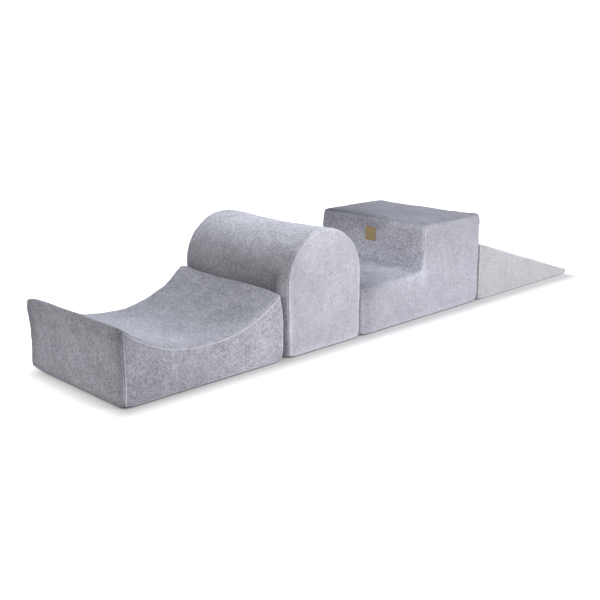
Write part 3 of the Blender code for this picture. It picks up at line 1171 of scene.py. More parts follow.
def new_material(name, roughness, specular, metallic=0.0):
    """Material with its node tree and its shader, whose plain values are set."""
    material = bpy.data.materials.new(name)
    material.use_nodes = True
    shader = material.node_tree.nodes["Principled BSDF"]
    shader.inputs["Roughness"].default_value = roughness
    shader.inputs["Specular IOR Level"].default_value = specular
    shader.inputs["Metallic"].default_value = metallic
    return material, material.node_tree, shader


def feed(tree, socket, value):
    """Links a socket to another, or sets its plain value."""
    if isinstance(value, bpy.types.NodeSocket):
        tree.links.new(value, socket)
    else:
        socket.default_value = value


def calculate(tree, operation, *values, clamp=False):
    """Output of a Math node over sockets and numbers."""
    node = tree.nodes.new("ShaderNodeMath")
    node.operation = operation
    node.use_clamp = clamp
    for socket, value in zip(node.inputs, values):
        feed(tree, socket, value)
    return node.outputs[0]


def combine(tree, operation, *values):
    """Output of a Vector Math node over sockets and vectors."""
    node = tree.nodes.new("ShaderNodeVectorMath")
    node.operation = operation
    for socket, value in zip(node.inputs, values):
        feed(tree, socket, value)
    return node.outputs["Value" if operation == "LENGTH" else "Vector"]


def ease(tree, value, start, end, low, high):
    """Output that eases from low to high as a value goes from start to end."""
    node = tree.nodes.new("ShaderNodeMapRange")
    node.interpolation_type = "SMOOTHSTEP"
    for socket, setting in zip(node.inputs, (value, start, end, low, high)):
        feed(tree, socket, setting)
    return node.outputs[0]


def noise(tree, place, scale, detail=2.0, rough=0.5):
    """Output of a noise about zero, from -0.5 to 0.5."""
    node = tree.nodes.new("ShaderNodeTexNoise")
    settings = {"Vector": place, "Scale": scale, "Detail": detail, "Roughness": rough}
    for title, value in settings.items():
        feed(tree, node.inputs[title], value)
    return calculate(tree, "SUBTRACT", node.outputs["Fac"], 0.5)


def cells(tree, place, scale):
    """Distance from the middles of scattered cells."""
    node = tree.nodes.new("ShaderNodeTexVoronoi")
    feed(tree, node.inputs["Vector"], place)
    feed(tree, node.inputs["Scale"], scale)
    return node.outputs["Distance"]


def mapped(tree, place, scale, turn):
    """A place times a scale along each axis, and then turned."""
    node = tree.nodes.new("ShaderNodeMapping")
    node.inputs["Scale"].default_value = scale
    node.inputs["Rotation"].default_value = turn
    feed(tree, node.inputs["Vector"], place)
    return node.outputs[0]


def object_place(tree, scale=(1, 1, 1), turn=(0, 0, 0)):
    """Object coordinates, stretched and turned."""
    place = tree.nodes.new("ShaderNodeTexCoord").outputs["Object"]
    return mapped(tree, place, scale, turn)


def cloth_place(tree, scale=(1, 1, 1), turn=(0, 0, 0)):
    """Place in the cloth in metres, from the piece's UV map, stretched and turned."""
    node = tree.nodes.new("ShaderNodeUVMap")
    node.uv_map = "cloth"
    return mapped(tree, node.outputs["UV"], scale, turn)


def attribute(tree, name):
    """Output of one of the piece's own attributes."""
    node = tree.nodes.new("ShaderNodeAttribute")
    node.attribute_name = name
    return node.outputs["Fac"]


def mix_colours(tree, share, first, second):
    """Output between two colours."""
    node = tree.nodes.new("ShaderNodeMix")
    node.data_type = "RGBA"
    feed(tree, node.inputs["Factor"], share)
    feed(tree, node.inputs["A"], (*first, 1))
    feed(tree, node.inputs["B"], (*second, 1))
    return node.outputs["Result"]


def dim(tree, colour, tone):
    """Output of a colour times a tone."""
    node = tree.nodes.new("ShaderNodeVectorMath")
    node.operation = "SCALE"
    feed(tree, node.inputs[0], colour)
    feed(tree, node.inputs["Scale"], tone)
    return node.outputs[0]


def paint(tree, shader, colour):
    """Gives the shader its colour."""
    feed(tree, shader.inputs["Base Color"], colour)


def roughen(tree, shader, share, low, high):
    """Roughness that goes from low to high with a share."""
    feed(tree, shader.inputs["Roughness"], ease(tree, share, 0, 1, low, high))


def add_bump(tree, shader, height, distance, strength):
    """Turns the shader's normal by a height."""
    node = tree.nodes.new("ShaderNodeBump")
    node.inputs["Distance"].default_value = distance
    node.inputs["Strength"].default_value = strength
    feed(tree, node.inputs["Height"], height)
    tree.links.new(node.outputs["Normal"], shader.inputs["Normal"])


def in_plain_sight(tree):
    """Output of 1 for what the camera, mirrors and glass see, and of 0 for light."""
    path = tree.nodes.new("ShaderNodeLightPath").outputs
    seen = calculate(tree, "MAXIMUM", path["Is Camera Ray"], path["Is Glossy Ray"])
    return calculate(tree, "MAXIMUM", seen, path["Is Transmission Ray"])


def floor_material(look):
    """Pale floor that the camera sees as white, but for the row's shadow.

    White is added to what the camera, mirrors and glass see of it, and more of it
    the farther a place lies outside the shade's rectangle: the length of how far its
    X and Y from the rectangle's middle go over half its sides.
    """
    material, tree, shader = new_material("pale_floor", roughness=0.9, specular=0.1)
    paint(tree, shader, (look.floor_tone,) * 3 + (1,))
    start, end = (np.array((*corner[:2], 0)) for corner in CAD_BOX)
    start[:2] -= look.shade_start
    end[:2] -= look.shade_end
    place = object_place(tree, turn=(0, 0, look.shade_turn))
    place = combine(tree, "SUBTRACT", place, (start + end) / 2)
    place = combine(tree, "ABSOLUTE", place)
    place = combine(tree, "SUBTRACT", place, (end - start) / 2)
    away = combine(tree, "LENGTH", combine(tree, "MAXIMUM", place, (0, 0, 0)))
    rise = (1 - look.floor_glow) / look.glow_reach
    white = calculate(tree, "MULTIPLY_ADD", away, rise, look.floor_glow, clamp=True)
    white = calculate(tree, "MULTIPLY", in_plain_sight(tree), white)
    glow = tree.nodes.new("ShaderNodeEmission")
    feed(tree, glow.inputs["Strength"], white)
    total = tree.nodes.new("ShaderNodeAddShader")
    feed(tree, total.inputs[0], shader.outputs["BSDF"])
    feed(tree, total.inputs[1], glow.outputs[0])
    feed(tree, tree.nodes["Material Output"].inputs["Surface"], total.outputs[0])
    return material


def make_world(scene, look):
    """Soft even light from all round, and white to the camera, mirrors and glass."""
    world = bpy.data.worlds.new("studio")
    world.use_nodes = True
    tree = world.node_tree
    fill = tree.nodes["Background"]
    fill.inputs["Color"].default_value = (1, 1, 1, 1)
    fill.inputs["Strength"].default_value = look.fill
    white = tree.nodes.new("ShaderNodeBackground")
    white.inputs["Color"].default_value = (1, 1, 1, 1)
    white.inputs["Strength"].default_value = 1.0
    choose = tree.nodes.new("ShaderNodeMixShader")
    sources = (in_plain_sight(tree), fill.outputs[0], white.outputs[0])
    for socket, source in zip(choose.inputs, sources):
        feed(tree, socket, source)
    feed(tree, tree.nodes["World Output"].inputs["Surface"], choose.outputs[0])
    scene.world = world


def aim(place, target, roll=0.0):
    """Placing that looks from one point to another, turned about its line of sight."""
    forward = Vector(target) - Vector(place)
    turned = forward.to_track_quat("-Z", "Y").to_matrix().to_4x4()
    return Matrix.Translation(place) @ turned @ Matrix.Rotation(roll, 4, "Z")


def add_lamp(lamp):
    """Square soft lamp that faces a point."""
    light = bpy.data.lights.new(lamp.name, "AREA")
    light.size = lamp.width
    light.energy = lamp.power
    light.color = lamp.colour
    new_object(lamp.name, light).matrix_world = aim(lamp.place, lamp.target)


def add_camera(scene, look):
    """Camera at the photograph's viewpoint."""
    lens = bpy.data.cameras.new("camera")
    lens.lens = look.lens
    lens.sensor_width = FRAME_WIDTH
    camera = new_object("camera", lens)
    camera.matrix_world = aim(look.camera_place, look.camera_target, look.camera_roll)
    scene.camera = camera


def roll_edge(grid, normals, cover):
    """Turns the last row of a panel's grid down into its seam.

    The new rows follow a quarter circle of the roll's radius, whose end lies one gap
    short of the seam, and then a straight tail down to the seam's depth. The last
    row itself goes back to the start of the quarter circle.
    """
    edge, before = grid[-1, :, POSITION], grid[-2, :, POSITION]
    normal = normals[-1]
    out = edge - before
    out = unit(out - (out * normal).sum(axis=-1, keepdims=True) * normal)
    angles = np.linspace(0, QUARTER_TURN, ROLL_POINTS)
    steps = [(cover.roll * math.sin(a), cover.roll * (1 - math.cos(a))) for a in angles]
    steps.append((cover.roll, cover.seam_depth))
    travel = running_total(np.hypot(*np.diff(np.array(steps), axis=0).T))
    cloth_step = unit(grid[-1, :, CLOTH_PLACE] - grid[-2, :, CLOTH_PLACE])
    rows = []
    for (sideways, down), way in zip(steps, travel):
        row = grid[-1].copy()
        outward = sideways - cover.roll - cover.seam_gap
        row[:, POSITION] = edge + out * outward - normal * down
        row[:, CLOTH_PLACE] += cloth_step * (way - cover.roll)
        row[:, SEAM_DISTANCE] = travel[-2] - min(way, travel[-2])
        rows.append(row)
    grid = np.concatenate((grid[:-1], np.array(rows)))
    normals = np.concatenate((normals[:-1], np.repeat(normals[-1:], len(rows), axis=0)))
    return grid, normals


def roll_all_edges(grid, normals, cover):
    """Rolls the four edges of a rectangular panel."""
    for _ in range(2):
        for _ in range(2):
            grid, normals = roll_edge(grid, normals, cover)
            grid, normals = grid[::-1], normals[::-1]
        grid, normals = grid.swapaxes(0, 1), normals.swapaxes(0, 1)
    return grid


def join_grid(position, *values):
    """Grid of position with the other values as its last columns."""
    return np.concatenate((position, *(value[..., None] for value in values)), axis=-1)


def strip_grid(cloth, index):
    """Grid of position, cloth place, seam distance and painted light at vertex numbers.

    The place in the cloth is the length gone along the rows and the depth, so that
    the cloth's pattern follows the strip.
    """
    position = cloth.points[index]
    steps = np.linalg.norm(np.diff(position[len(index) // 2], axis=0), axis=-1)
    along, depth = np.broadcast_to(running_total(steps), index.shape), position[..., 1]
    return join_grid(position, along, depth, cloth.distance[index], cloth.nap[index])


def side_grid(cloth, index):
    """The same for a side, whose place in the cloth is X and Z."""
    position = cloth.points[index]
    x, z = position[..., 0], position[..., 2]
    return join_grid(position, x, z, cloth.distance[index], cloth.nap[index])


def finish_panel(block, part, grids, quads, cover, material):
    """Panel piece with its thickness, standing for one node of the cover."""
    name = f"{block.name}_{part}_panel"
    table = np.concatenate([grid.reshape(-1, COLUMNS) for grid in grids])
    columns = (table[:, column] for column in (CLOTH_PLACE, SEAM_DISTANCE, PAINTED_LIGHT))
    piece = new_piece(name, material, table[:, POSITION], quads, *columns)
    wall = piece.modifiers.new("thickness", "SOLIDIFY")
    wall.thickness = cover.thickness
    wall.offset = -1
    add_smoothing(piece)
    declare(piece, f"{block.name}_block", f"{block.name}_{PANEL_NODES[part]}")
    return piece


def add_smoothing(piece):
    """One subdivision of a piece."""
    smooth = piece.modifiers.new("smooth", "SUBSURF")
    smooth.levels = smooth.render_levels = 1


def declare(piece, body, node=None):
    """Says which body a piece rides on, and hides the node that it stands for."""
    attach(piece, body)
    if node:
        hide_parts(node)


def make_strip(block, cloth, index, cover, part, material):
    """Top or base strip of a cover, from seam to seam."""
    grid = roll_all_edges(strip_grid(cloth, index), cloth.normals[index], cover)
    rows, columns = grid.shape[:2]
    quads = quads_of(np.arange(rows * columns).reshape(rows, columns))[:, ::-1]
    return finish_panel(block, part, [grid], quads, cover, material)


def make_side(block, cloth, rings, patch, cover, part, material):
    """Near or far side of a cover: rings over the rim round a patch.

    The rings run from the patch's edge to the seam, so the far side's come reversed.
    """
    ring_grid, _ = roll_edge(side_grid(cloth, rings), cloth.normals[rings], cover)
    rows, count = ring_grid.shape[:2]
    up, along = patch.shape[0] - 1, patch.shape[1] - 1
    middle = side_grid(cloth, patch[1:-1, 1:-1])
    ring_index = np.arange(rows * count).reshape(rows, count)
    patch_numbers = patch_index(ring_index[0], along, up, rows * count)
    closed = np.concatenate((ring_index, ring_index[:, :1]), axis=1)
    quads = np.concatenate((quads_of(closed)[:, ::-1], quads_of(patch_numbers)))
    if part == "far":
        quads = quads[:, ::-1]
    return finish_panel(block, part, [ring_grid, middle], quads, cover, material)


def cut_slot(piece, low, high, sizes):
    """Slot in a far side, with the velvet turned in round it.

    Faces near the slot are cut along its four sides and along lines a hem outside
    them. Those inside it go, and its edges are drawn in to the lip's depth.
    """
    cloth = bmesh.new()
    cloth.from_mesh(piece.data)

    def within(place, room):
        return all(low[i] - room < place[i] < high[i] + room for i in (0, 2))

    def flat_faces(room):
        return [
            face
            for face in cloth.faces
            if face.normal.y > FLAT_FACING and within(face.calc_center_median(), room)
        ]

    for axis in (0, 2):
        way = Vector((axis == 0, 0, axis == 2))
        for place in (low[axis] - sizes.hem, low[axis], high[axis], high[axis] + sizes.hem):
            faces = flat_faces(CUT_ROOM)
            parts = {part for face in faces for part in (*face.edges, *face.verts)}
            bmesh.ops.bisect_plane(
                cloth,
                geom=[*faces, *parts],
                dist=MERGE_REACH,
                plane_co=way * place,
                plane_no=way,
            )
            cloth.normal_update()
    bmesh.ops.delete(cloth, geom=flat_faces(0), context="FACES")
    edges = [
        edge
        for edge in cloth.edges
        if edge.is_boundary
        and all(within(vertex.co, 2 * MERGE_REACH) for vertex in edge.verts)
    ]
    turned = bmesh.ops.extrude_edge_only(cloth, edges=edges)["geom"]
    vertices = [part for part in turned if isinstance(part, bmesh.types.BMVert)]
    bmesh.ops.translate(cloth, verts=vertices, vec=(0, -sizes.lip_depth, 0))
    cloth.to_mesh(piece.data)
    cloth.free()
    piece.data.shade_smooth()


def seam_distances(block, body, along, up, grid):
    """Distance from each point of the body to the nearest seam, by counting the grid."""
    distance = np.empty(len(body.points))
    rows, columns = body.sleeve.shape
    row = np.arange(rows)[:, None]
    column = np.arange(columns)[None, :]
    rim_step = block.rim * QUARTER_TURN / RIM_STEPS
    near_seam, far_seam = seam_rows(body)
    steps = np.minimum(abs(row - near_seam), abs(row - far_seam))
    half_rim = RIM_STEPS // 2
    on_rim = np.minimum(steps, half_rim)
    lengths = on_rim * rim_step + (steps - on_rim) * grid
    foot = np.minimum(abs(column - along), np.minimum(column, columns - column))
    inside = (row >= near_seam) & (row <= far_seam)
    distance[body.sleeve] = np.where(inside, np.minimum(lengths, foot * rim_step), lengths)
    for patch in (body.near, body.far):
        j = np.arange(patch.shape[0])[:, None]
        i = np.arange(patch.shape[1])[None, :]
        layer = np.minimum(np.minimum(i, along - i), np.minimum(j, up - j))
        distance[patch] = half_rim * rim_step + layer * grid
    return distance


def seam_rows(body):
    """Rows of a body's sleeve at its near and far seam, at the middles of the rims."""
    return RIM_STEPS // 2, len(body.sleeve) - 1 - RIM_STEPS // 2


def painted_light_tones(block, points, normals, look):
    """Painted light and shade on the pile, as a factor of its colour.

    One, plus the block's three gains times the squares of how far the normal looks
    back along the row, up and sideways: painted light and shade by facing, standing
    in for how the nap takes the light. The gain of what faces up also counts by the
    square of its height in the block. Each patch of painted light and shade adds
    its gain times its strength.
    """
    back, up, side = getattr(look, f"{block.name}_nap")
    height = (points[:, 2] - block.low[2]) / (block.high[2] - block.low[2])
    facing = np.maximum(normals * (-1, 1, 1), 0) ** 2
    sideways = normals[:, 1] ** 2
    tone = 1 + back * facing[:, 0] + side * sideways + up * facing[:, 2] * height**2
    for patch, strength in strengths(block, points, PAINTED_LIGHT_PATCHES):
        tone += patch.gain * strength
    return tone


def wave(block, points, normals, distance, calm, cover):
    """Adds long and short waves all over, and puckers that fade away from the seams."""
    seed = len(BLOCK_NAMES) * BLOCK_NAMES.index(block.name)
    long_waves = ripples(points, LONG_WAVE, seed)
    short_waves = ripples(points, SHORT_WAVE, seed + 1)
    puckers = ripples(points, PUCKER_WAVE, seed + 2) * np.exp(-distance / PUCKER_REACH)
    waves = long_waves + SHORT_WAVE_SHARE * short_waves
    height = cover.wave * waves + cover.pucker * puckers
    return points + normals * (height * calm)[:, None]


def strengths(block, points, spots):
    """The block's own patches, bulges or pulls, each with its strength at each point.

    That is the exponential of minus the square of the distance from its place over
    its reach.
    """
    for spot in spots:
        if spot.block == block.name:
            place = block.low + np.array(spot.place_shares) * (block.high - block.low)
            away = np.linalg.norm((points - place) / spot.reach, axis=1)
            yield spot, np.exp(-(away**2))


def bulge(block, points, normals, calm):
    """Adds the block's pulls, and its bulges where the cloth isn't calm.

    A pull adds its move times its strength, and a bulge its height along the normals.
    """
    height = np.zeros(len(points))
    moved = points.copy()
    for spot, strength in strengths(block, points, BULGES):
        height += spot.height * strength
    for pull, strength in strengths(block, points, PULLS):
        moved += strength[:, None] * pull.move
    return moved + normals * (height * calm)[:, None]


def round_corners(block, points, depth, reach):
    """Draws the surface in across the corners, where two seams and an edge meet.

    Each corner of the outline draws the points near it towards its arc's centre and
    the middle of the block, by the depth times the exponential of minus the square
    of the distance over the reach.
    """
    moved = points.copy()
    for arc in block.arcs(0):
        if arc.sweep <= 0 or arc.radius > block.rim:
            continue
        out = np.exp(1j * (arc.start + arc.sweep / 2))
        place = arc.centre + arc.radius * out + block.low[0] + 1j * block.low[2]
        for y, side in ((block.low[1], -1), (block.high[1], 1)):
            away = np.linalg.norm(points - (place.real, y, place.imag), axis=1) / reach
            inward = -unit(np.array((out.real, side, out.imag)))
            moved += depth * np.exp(-(away**2))[:, None] * inward
    return moved


def make_cover(context, name, base_cloth):
    """The four panels of one block's cover."""
    scene = context.scene
    sizes, cover, look = scene.play_row_blocks, scene.play_row_cover, scene.play_row_velvet
    block = find_block(name, sizes)
    body, along, up = make_body(block, sizes, cover.grid)
    distance = seam_distances(block, body, along, up, cover.grid)
    base = body.sleeve[:, 1:along]
    calm = calmness(block, body.points, cover)
    calm[base] = 0
    held = distance < MERGE_REACH
    held[base] = True
    points = swell(body, held, calm, cover)
    points = wave(block, points, vertex_normals(points, body.quads), distance, calm, cover)
    points = bulge(block, points, vertex_normals(points, body.quads), calm)
    back, front = FREE_ENDS.get(name, (cover.end_crown, cover.end_crown))
    points[:, 0] = np.clip(points[:, 0], block.low[0] - back, block.high[0] + front)
    points = round_corners(block, points, cover.corner, cover.corner_reach)
    points[:, 2] = np.maximum(points[:, 2], block.low[2])
    normals = vertex_normals(points, body.quads)
    cloth = Cloth(points, normals, distance, painted_light_tones(block, points, normals, look))
    strip, velvet = (velvet_material(look, name, part) for part in ("strip", "side"))
    near_seam, far_seam = seam_rows(body)
    wrapped = np.concatenate((body.sleeve, body.sleeve[:, :1]), axis=1)
    between = wrapped[near_seam : far_seam + 1]
    make_strip(block, cloth, between[:, along:], cover, "top", strip)
    make_strip(block, cloth, between[:, : along + 1], cover, "base", base_cloth)
    near_rings = body.sleeve[: near_seam + 1]
    far_rings = body.sleeve[far_seam:][::-1]
    make_side(block, cloth, near_rings, body.near, cover, "near", velvet)
    far_side = make_side(block, cloth, far_rings, body.far, cover, "far", velvet)
    cut_slot(far_side, *zip_slot(name), scene.play_row_zips)


def velvet_material(look, name, part):
    """Mottled velvet in the cloth's own place, for the sides or the strip of a block.

    Brushed patches, tufts, curls and fibres are four noises, each finer than the
    last, whose sum lies between the dark and the light pile. The painted light and
    shade and the distance from the seams set the tone: the bottom of a seam is
    lifted out of the shade of its groove, and beside it a highlight is painted where
    the rolled edge catches the light and the pile opens; the paler it is, the evener
    the pile.
    """
    number = BLOCK_NAMES.index(name)
    seam_light, contrast, blue = (
        getattr(look, f"{part}_{title}")[number] for title in ("light", "contrast", "dye")
    )
    title = f"{name}_{part}_velvet"
    material, tree, shader = new_material(title, roughness=0.9, specular=0.12)
    place = cloth_place(tree, VELVET_STRETCH)
    ragged = noise(tree, place, *RAGGED_NOISE)
    ragged = calculate(tree, "MULTIPLY_ADD", ragged, RAGGED_REACH, attribute(tree, "seam"))
    # Painted light at the seams: the groove's bottom is lifted out of its shade, and a
    # highlight is painted beside it, where the rolled edge catches the light.
    tone = ease(tree, ragged, 0, SEAM_WIDTH, look.groove_painted_light, 1)
    rise = ease(tree, ragged, SEAM_WIDTH, SEAM_HIGHLIGHT_PEAK, 0, 1)
    fade = ease(tree, ragged, SEAM_HIGHLIGHT_PEAK, SEAM_HIGHLIGHT_END, 1, 0)
    line = calculate(tree, "MULTIPLY", rise, fade)
    gain = calculate(tree, "MULTIPLY_ADD", line, seam_light, 1)
    tone = calculate(tree, "MULTIPLY", tone, gain)
    pile = 0.0
    for strength, (scale, detail, rough) in zip(look.mottling, VELVET_NOISES):
        swing = noise(tree, place, scale, detail, rough)
        pile = calculate(tree, "MULTIPLY_ADD", swing, strength * contrast, pile)
    evenness = calculate(tree, "MULTIPLY_ADD", line, -SEAM_EVENNESS * seam_light, 1)
    pile = calculate(tree, "MULTIPLY_ADD", pile, evenness, 0.5)
    # Painted light and shade of the pile, by facing and in patches.
    tone = calculate(tree, "MULTIPLY", tone, attribute(tree, "nap"))
    dye = Vector((1, 1, blue))
    dark, light = Vector(look.dark) * dye, Vector(look.light) * dye
    paint(tree, shader, dim(tree, mix_colours(tree, pile, dark, light), tone))
    add_bump(tree, shader, pile, distance=0.0015, strength=0.5)
    shader.inputs["Sheen Weight"].default_value = look.sheen
    shader.inputs["Sheen Tint"].default_value = (*look.sheen_tint, 1)
    shader.inputs["Sheen Roughness"].default_value = SHEEN_ROUGHNESS
    return material


def weave(tree, place, pitch):
    """Height of a plain weave: the product of a sine along each way of the cloth."""
    parts = tree.nodes.new("ShaderNodeSeparateXYZ")
    feed(tree, parts.inputs[0], place)
    turn = 2 * math.pi / pitch
    waves = [
        calculate(tree, "SINE", calculate(tree, "MULTIPLY", parts.outputs[axis], turn))
        for axis in (0, 1)
    ]
    return calculate(tree, "MULTIPLY", *waves)


def woven_material(name, place_of, turn, pitch, light, dark):
    """Woven cloth whose threads run along the first two ways of its turned place."""
    material, tree, shader = new_material(name, roughness=0.85, specular=0.2)
    place = place_of(tree, turn=turn)
    threads = weave(tree, place, pitch)
    worn = noise(tree, place, *WORN_NOISE)
    share = calculate(tree, "MULTIPLY_ADD", threads, WEAVE_SHARE, 0.5)
    share = calculate(tree, "MULTIPLY_ADD", worn, WORN_SHARE, share)
    paint(tree, shader, mix_colours(tree, share, dark, light))
    add_bump(tree, shader, threads, distance=0.0003, strength=0.6)
    return material


class PLAYROW_OT_covers(Operator):
    """Builds the velvet covers."""

    bl_idname = "play_row.covers"
    bl_label = "Covers"

    def execute(self, context):
        base_cloth = woven_material("grey_base_cloth", cloth_place, (0, 0, 0), *BASE_WEAVE)
        for name in BLOCK_NAMES:
            make_cover(context, name, base_cloth)
        return {"FINISHED"}


def foam_material(look):
    """Cream foam: cut cells, and patches where it has yellowed."""
    material, tree, shader = new_material("cream_foam", roughness=0.95, specular=0.1)
    place = object_place(tree)
    depth = cells(tree, place, FOAM_CELLS)
    yellowed = calculate(tree, "ADD", noise(tree, place, *YELLOWED_NOISE), 0.5)
    aged = Vector(look.colour) * Vector(YELLOWED_FOAM)
    colour = mix_colours(tree, yellowed, look.colour, aged)
    shade = ease(tree, depth, 0, CELL_WALL, 1, CELL_WALL_TONE)
    paint(tree, shader, dim(tree, colour, shade))
    add_bump(tree, shader, depth, distance=-0.0015, strength=0.6)
    return material


class PLAYROW_OT_cores(Operator):
    """Builds the foam cores inside the covers."""

    bl_idname = "play_row.cores"
    bl_label = "Cores"

    def execute(self, context):
        look, cover = context.scene.play_row_core, context.scene.play_row_cover
        sizes = context.scene.play_row_blocks
        foam = foam_material(look)
        for name in BLOCK_NAMES:
            block = find_block(name, sizes)
            body, _, _ = make_body(block, sizes, look.grid, look.draw_in)
            calm = calmness(block, body.points, cover)
            normals = vertex_normals(body.points, body.quads)
            points = bulge(block, body.points, normals, calm)
            depth = CORE_ROUNDING * cover.corner
            points = round_corners(block, points, depth, cover.corner_reach)
            piece = new_piece(f"{name}_core", foam, points, body.quads)
            add_smoothing(piece)
            declare(piece, f"{name}_block", f"{name}_foam")
        return {"FINISHED"}


def sweep(path, radius, sides, across):
    """Closed tube along a path.

    A ring's point is the path's point plus the radius times the cosine and sine of
    its angle along two ways square to the path: the path's way crossed with a
    given way, and that crossed with the path's way.
    """
    ahead = unit(np.gradient(path, axis=0))
    first = unit(np.cross(ahead, across))
    second = np.cross(first, ahead)
    angles = 2 * math.pi / sides * np.arange(sides)[None, :, None]
    radii = np.broadcast_to(radius, len(path))[:, None, None]
    rings = radii * (np.cos(angles) * first[:, None] + np.sin(angles) * second[:, None])
    return make_shell(path[:, None] + rings, sides // 4, sides // 4)


def make_plate(corners, profile, grid):
    """Closed plate over an outline, X + iZ, with its faces to -Y and +Y.

    Each pair of the profile gives a ring: how far it is drawn in, and its Y.
    """
    marks = [on_arc(i) for i in range(4)]
    places, along, up = spread(polygon_arcs(corners, 0), marks, grid)
    outlines = (outline(polygon_arcs(corners, inset)) for inset, _ in profile)
    rings = np.array([read_outline(points, places) for points in outlines])
    heights = np.array([height for _, height in profile])[:, None]
    heights = np.broadcast_to(heights, rings.shape)
    return make_shell(np.stack((rings.real, heights, rings.imag), axis=-1), along, up)


def join_shells(shells):
    """Points and quads of several closed surfaces together."""
    starts = np.cumsum([0, *(len(shell.points) for shell in shells[:-1])])
    points = np.concatenate([shell.points for shell in shells])
    quads = [shell.quads + start for shell, start in zip(shells, starts)]
    return points, np.concatenate(quads)


def coils(name, sizes):
    """The two coils of a zip, each a helix with flattened turns.

    Along a coil, X grows by a pitch for each turn, Z swings about the coil's middle
    by half its width, and Y by half its depth, both less the wire's radius. The
    second coil is half a turn on.
    """
    low, high = np.array(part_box(f"{name}_zip_teeth"))
    turns = math.floor((high[0] - low[0] - 2 * sizes.wire) / sizes.pitch)
    turn = np.linspace(0, turns, turns * COIL_POINTS + 1)
    middle = (low + high) / 2
    swing = (high[2] - low[2]) / 4 + sizes.overlap / 2 - sizes.wire
    depth = (high[1] - low[1]) / 2 - sizes.wire
    shells = []
    for side in (-1, 1):
        angle = 2 * math.pi * (turn + side / 4)
        offset = side * ((high[2] - low[2]) / 2 - sizes.wire - swing)
        x = middle[0] + sizes.pitch * (turn - turns / 2)
        z = middle[2] + offset + swing * np.cos(angle)
        y = middle[1] + depth * np.sin(angle)
        path = np.stack((x, y, z), axis=1)
        shells.append(sweep(path, sizes.wire, WIRE_SIDES, (1, 0, 0)))
    return join_shells(shells)


def slider(name, sizes):
    """A zip's slider: a shield-shaped body, a bridge over it and a pull that hangs down.

    The body is wider at +X, where the two tapes part.
    """
    low, high = np.array(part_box(f"{name}_zip_slider"))
    middle = (low + high) / 2
    half = (high[2] - low[2]) / 2
    narrow = SLIDER_TAPER * half
    edge = SLIDER_EDGE * (high[1] - low[1])
    rounding = SLIDER_ROUNDING * half
    body_corners = [
        (low[0] + 1j * (middle[2] - narrow), rounding),
        (high[0] + 1j * (middle[2] - half), rounding),
        (high[0] + 1j * (middle[2] + half), rounding),
        (low[0] + 1j * (middle[2] + narrow), rounding),
    ]
    profile = [
        (edge, low[1]),
        (0, low[1] + edge),
        (0, high[1] - edge),
        (edge, high[1]),
        (3 * edge, high[1] + edge),
    ]
    body = make_plate(body_corners, profile, SLIDER_GRID)
    turn = np.linspace(0, math.pi, BRIDGE_POINTS)
    reach = SLIDER_TAPER * (high[0] - low[0]) / 2
    x, y = middle[0] - reach * np.cos(turn), high[1] + sizes.bridge * np.sin(turn)
    path = np.stack((x, y, np.full(BRIDGE_POINTS, middle[2])), axis=1)
    bridge = sweep(path, sizes.pull_thickness / 2, BRIDGE_SIDES, (0, 0, 1))
    neck = SLIDER_TAPER * sizes.pull_width / 2
    wide = sizes.pull_width / 2
    top, bottom = middle[2] + neck, middle[2] + neck - sizes.pull_length
    pull_corners = [
        (middle[0] - wide + 1j * bottom, wide / 2),
        (middle[0] + wide + 1j * bottom, wide / 2),
        (middle[0] + neck + 1j * top, neck / 2),
        (middle[0] - neck + 1j * top, neck / 2),
    ]
    back = high[1] + edge + CLEARANCE
    front = back + sizes.pull_thickness
    rim = sizes.pull_thickness / 4
    pull_profile = [
        (rim, back),
        (0, back + rim),
        (0, front - rim),
        (rim, front),
        (3 * rim, front),
        (4 * rim, front - rim),
    ]
    pull = make_plate(pull_corners, pull_profile, SLIDER_GRID)
    return join_shells([body, bridge, pull])


def coil_material():
    """Dull nylon wire with fine marks."""
    material, tree, shader = new_material("grey_nylon", roughness=0.45, specular=0.4)
    share = calculate(tree, "ADD", noise(tree, object_place(tree), *NYLON_NOISE), 0.5)
    paint(tree, shader, mix_colours(tree, share, *NYLON_COLOURS))
    roughen(tree, shader, share, low=0.38, high=0.55)
    add_bump(tree, shader, share, distance=0.0001, strength=0.3)
    return material


def slider_material():
    """Cast metal with fine scratches and a worn shine in patches."""
    material, tree, shader = new_material(
        "dark_metal", roughness=0.3, specular=0.5, metallic=1.0
    )
    scratches = noise(tree, object_place(tree, SCRATCH_STRETCH), *SCRATCH_NOISE)
    patches = calculate(tree, "ADD", noise(tree, object_place(tree), *SHINE_NOISE), 0.5)
    share = calculate(tree, "MULTIPLY_ADD", scratches, SCRATCH_SHARE, patches)
    paint(tree, shader, mix_colours(tree, share, *METAL_COLOURS))
    roughen(tree, shader, share, low=0.42, high=0.24)
    add_bump(tree, shader, scratches, distance=0.00005, strength=0.3)
    return material


class PLAYROW_OT_zips(Operator):
    """Builds the zips' coils, sliders and pulls, and weaves their tapes."""

    bl_idname = "play_row.zips"
    bl_label = "Zips"

    def execute(self, context):
        sizes = context.scene.play_row_zips
        nylon, metal = coil_material(), slider_material()
        upright = (QUARTER_TURN, 0, 0)
        tape = woven_material("grey_tape", object_place, upright, *TAPE_WEAVE)
        for name in BLOCK_NAMES:
            piece = new_piece(f"{name}_zip_coil", nylon, *coils(name, sizes))
            declare(piece, f"{name}_block", f"{name}_zip_teeth")
            piece = new_piece(f"{name}_zip_slider_and_pull", metal, *slider(name, sizes))
            add_smoothing(piece)
            declare(piece, f"{name}_slider", f"{name}_zip_slider")
            for side in ("upper", "lower"):
                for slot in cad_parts[f"{name}_zip_{side}_tape"].material_slots:
                    slot.material = tape
        return {"FINISHED"}


def turn_to_riser(points, back):
    """Points of a plate turned to face back along the row, its back at a given X."""
    return np.stack((back - points[:, 1], points[:, 0], points[:, 2]), axis=1)


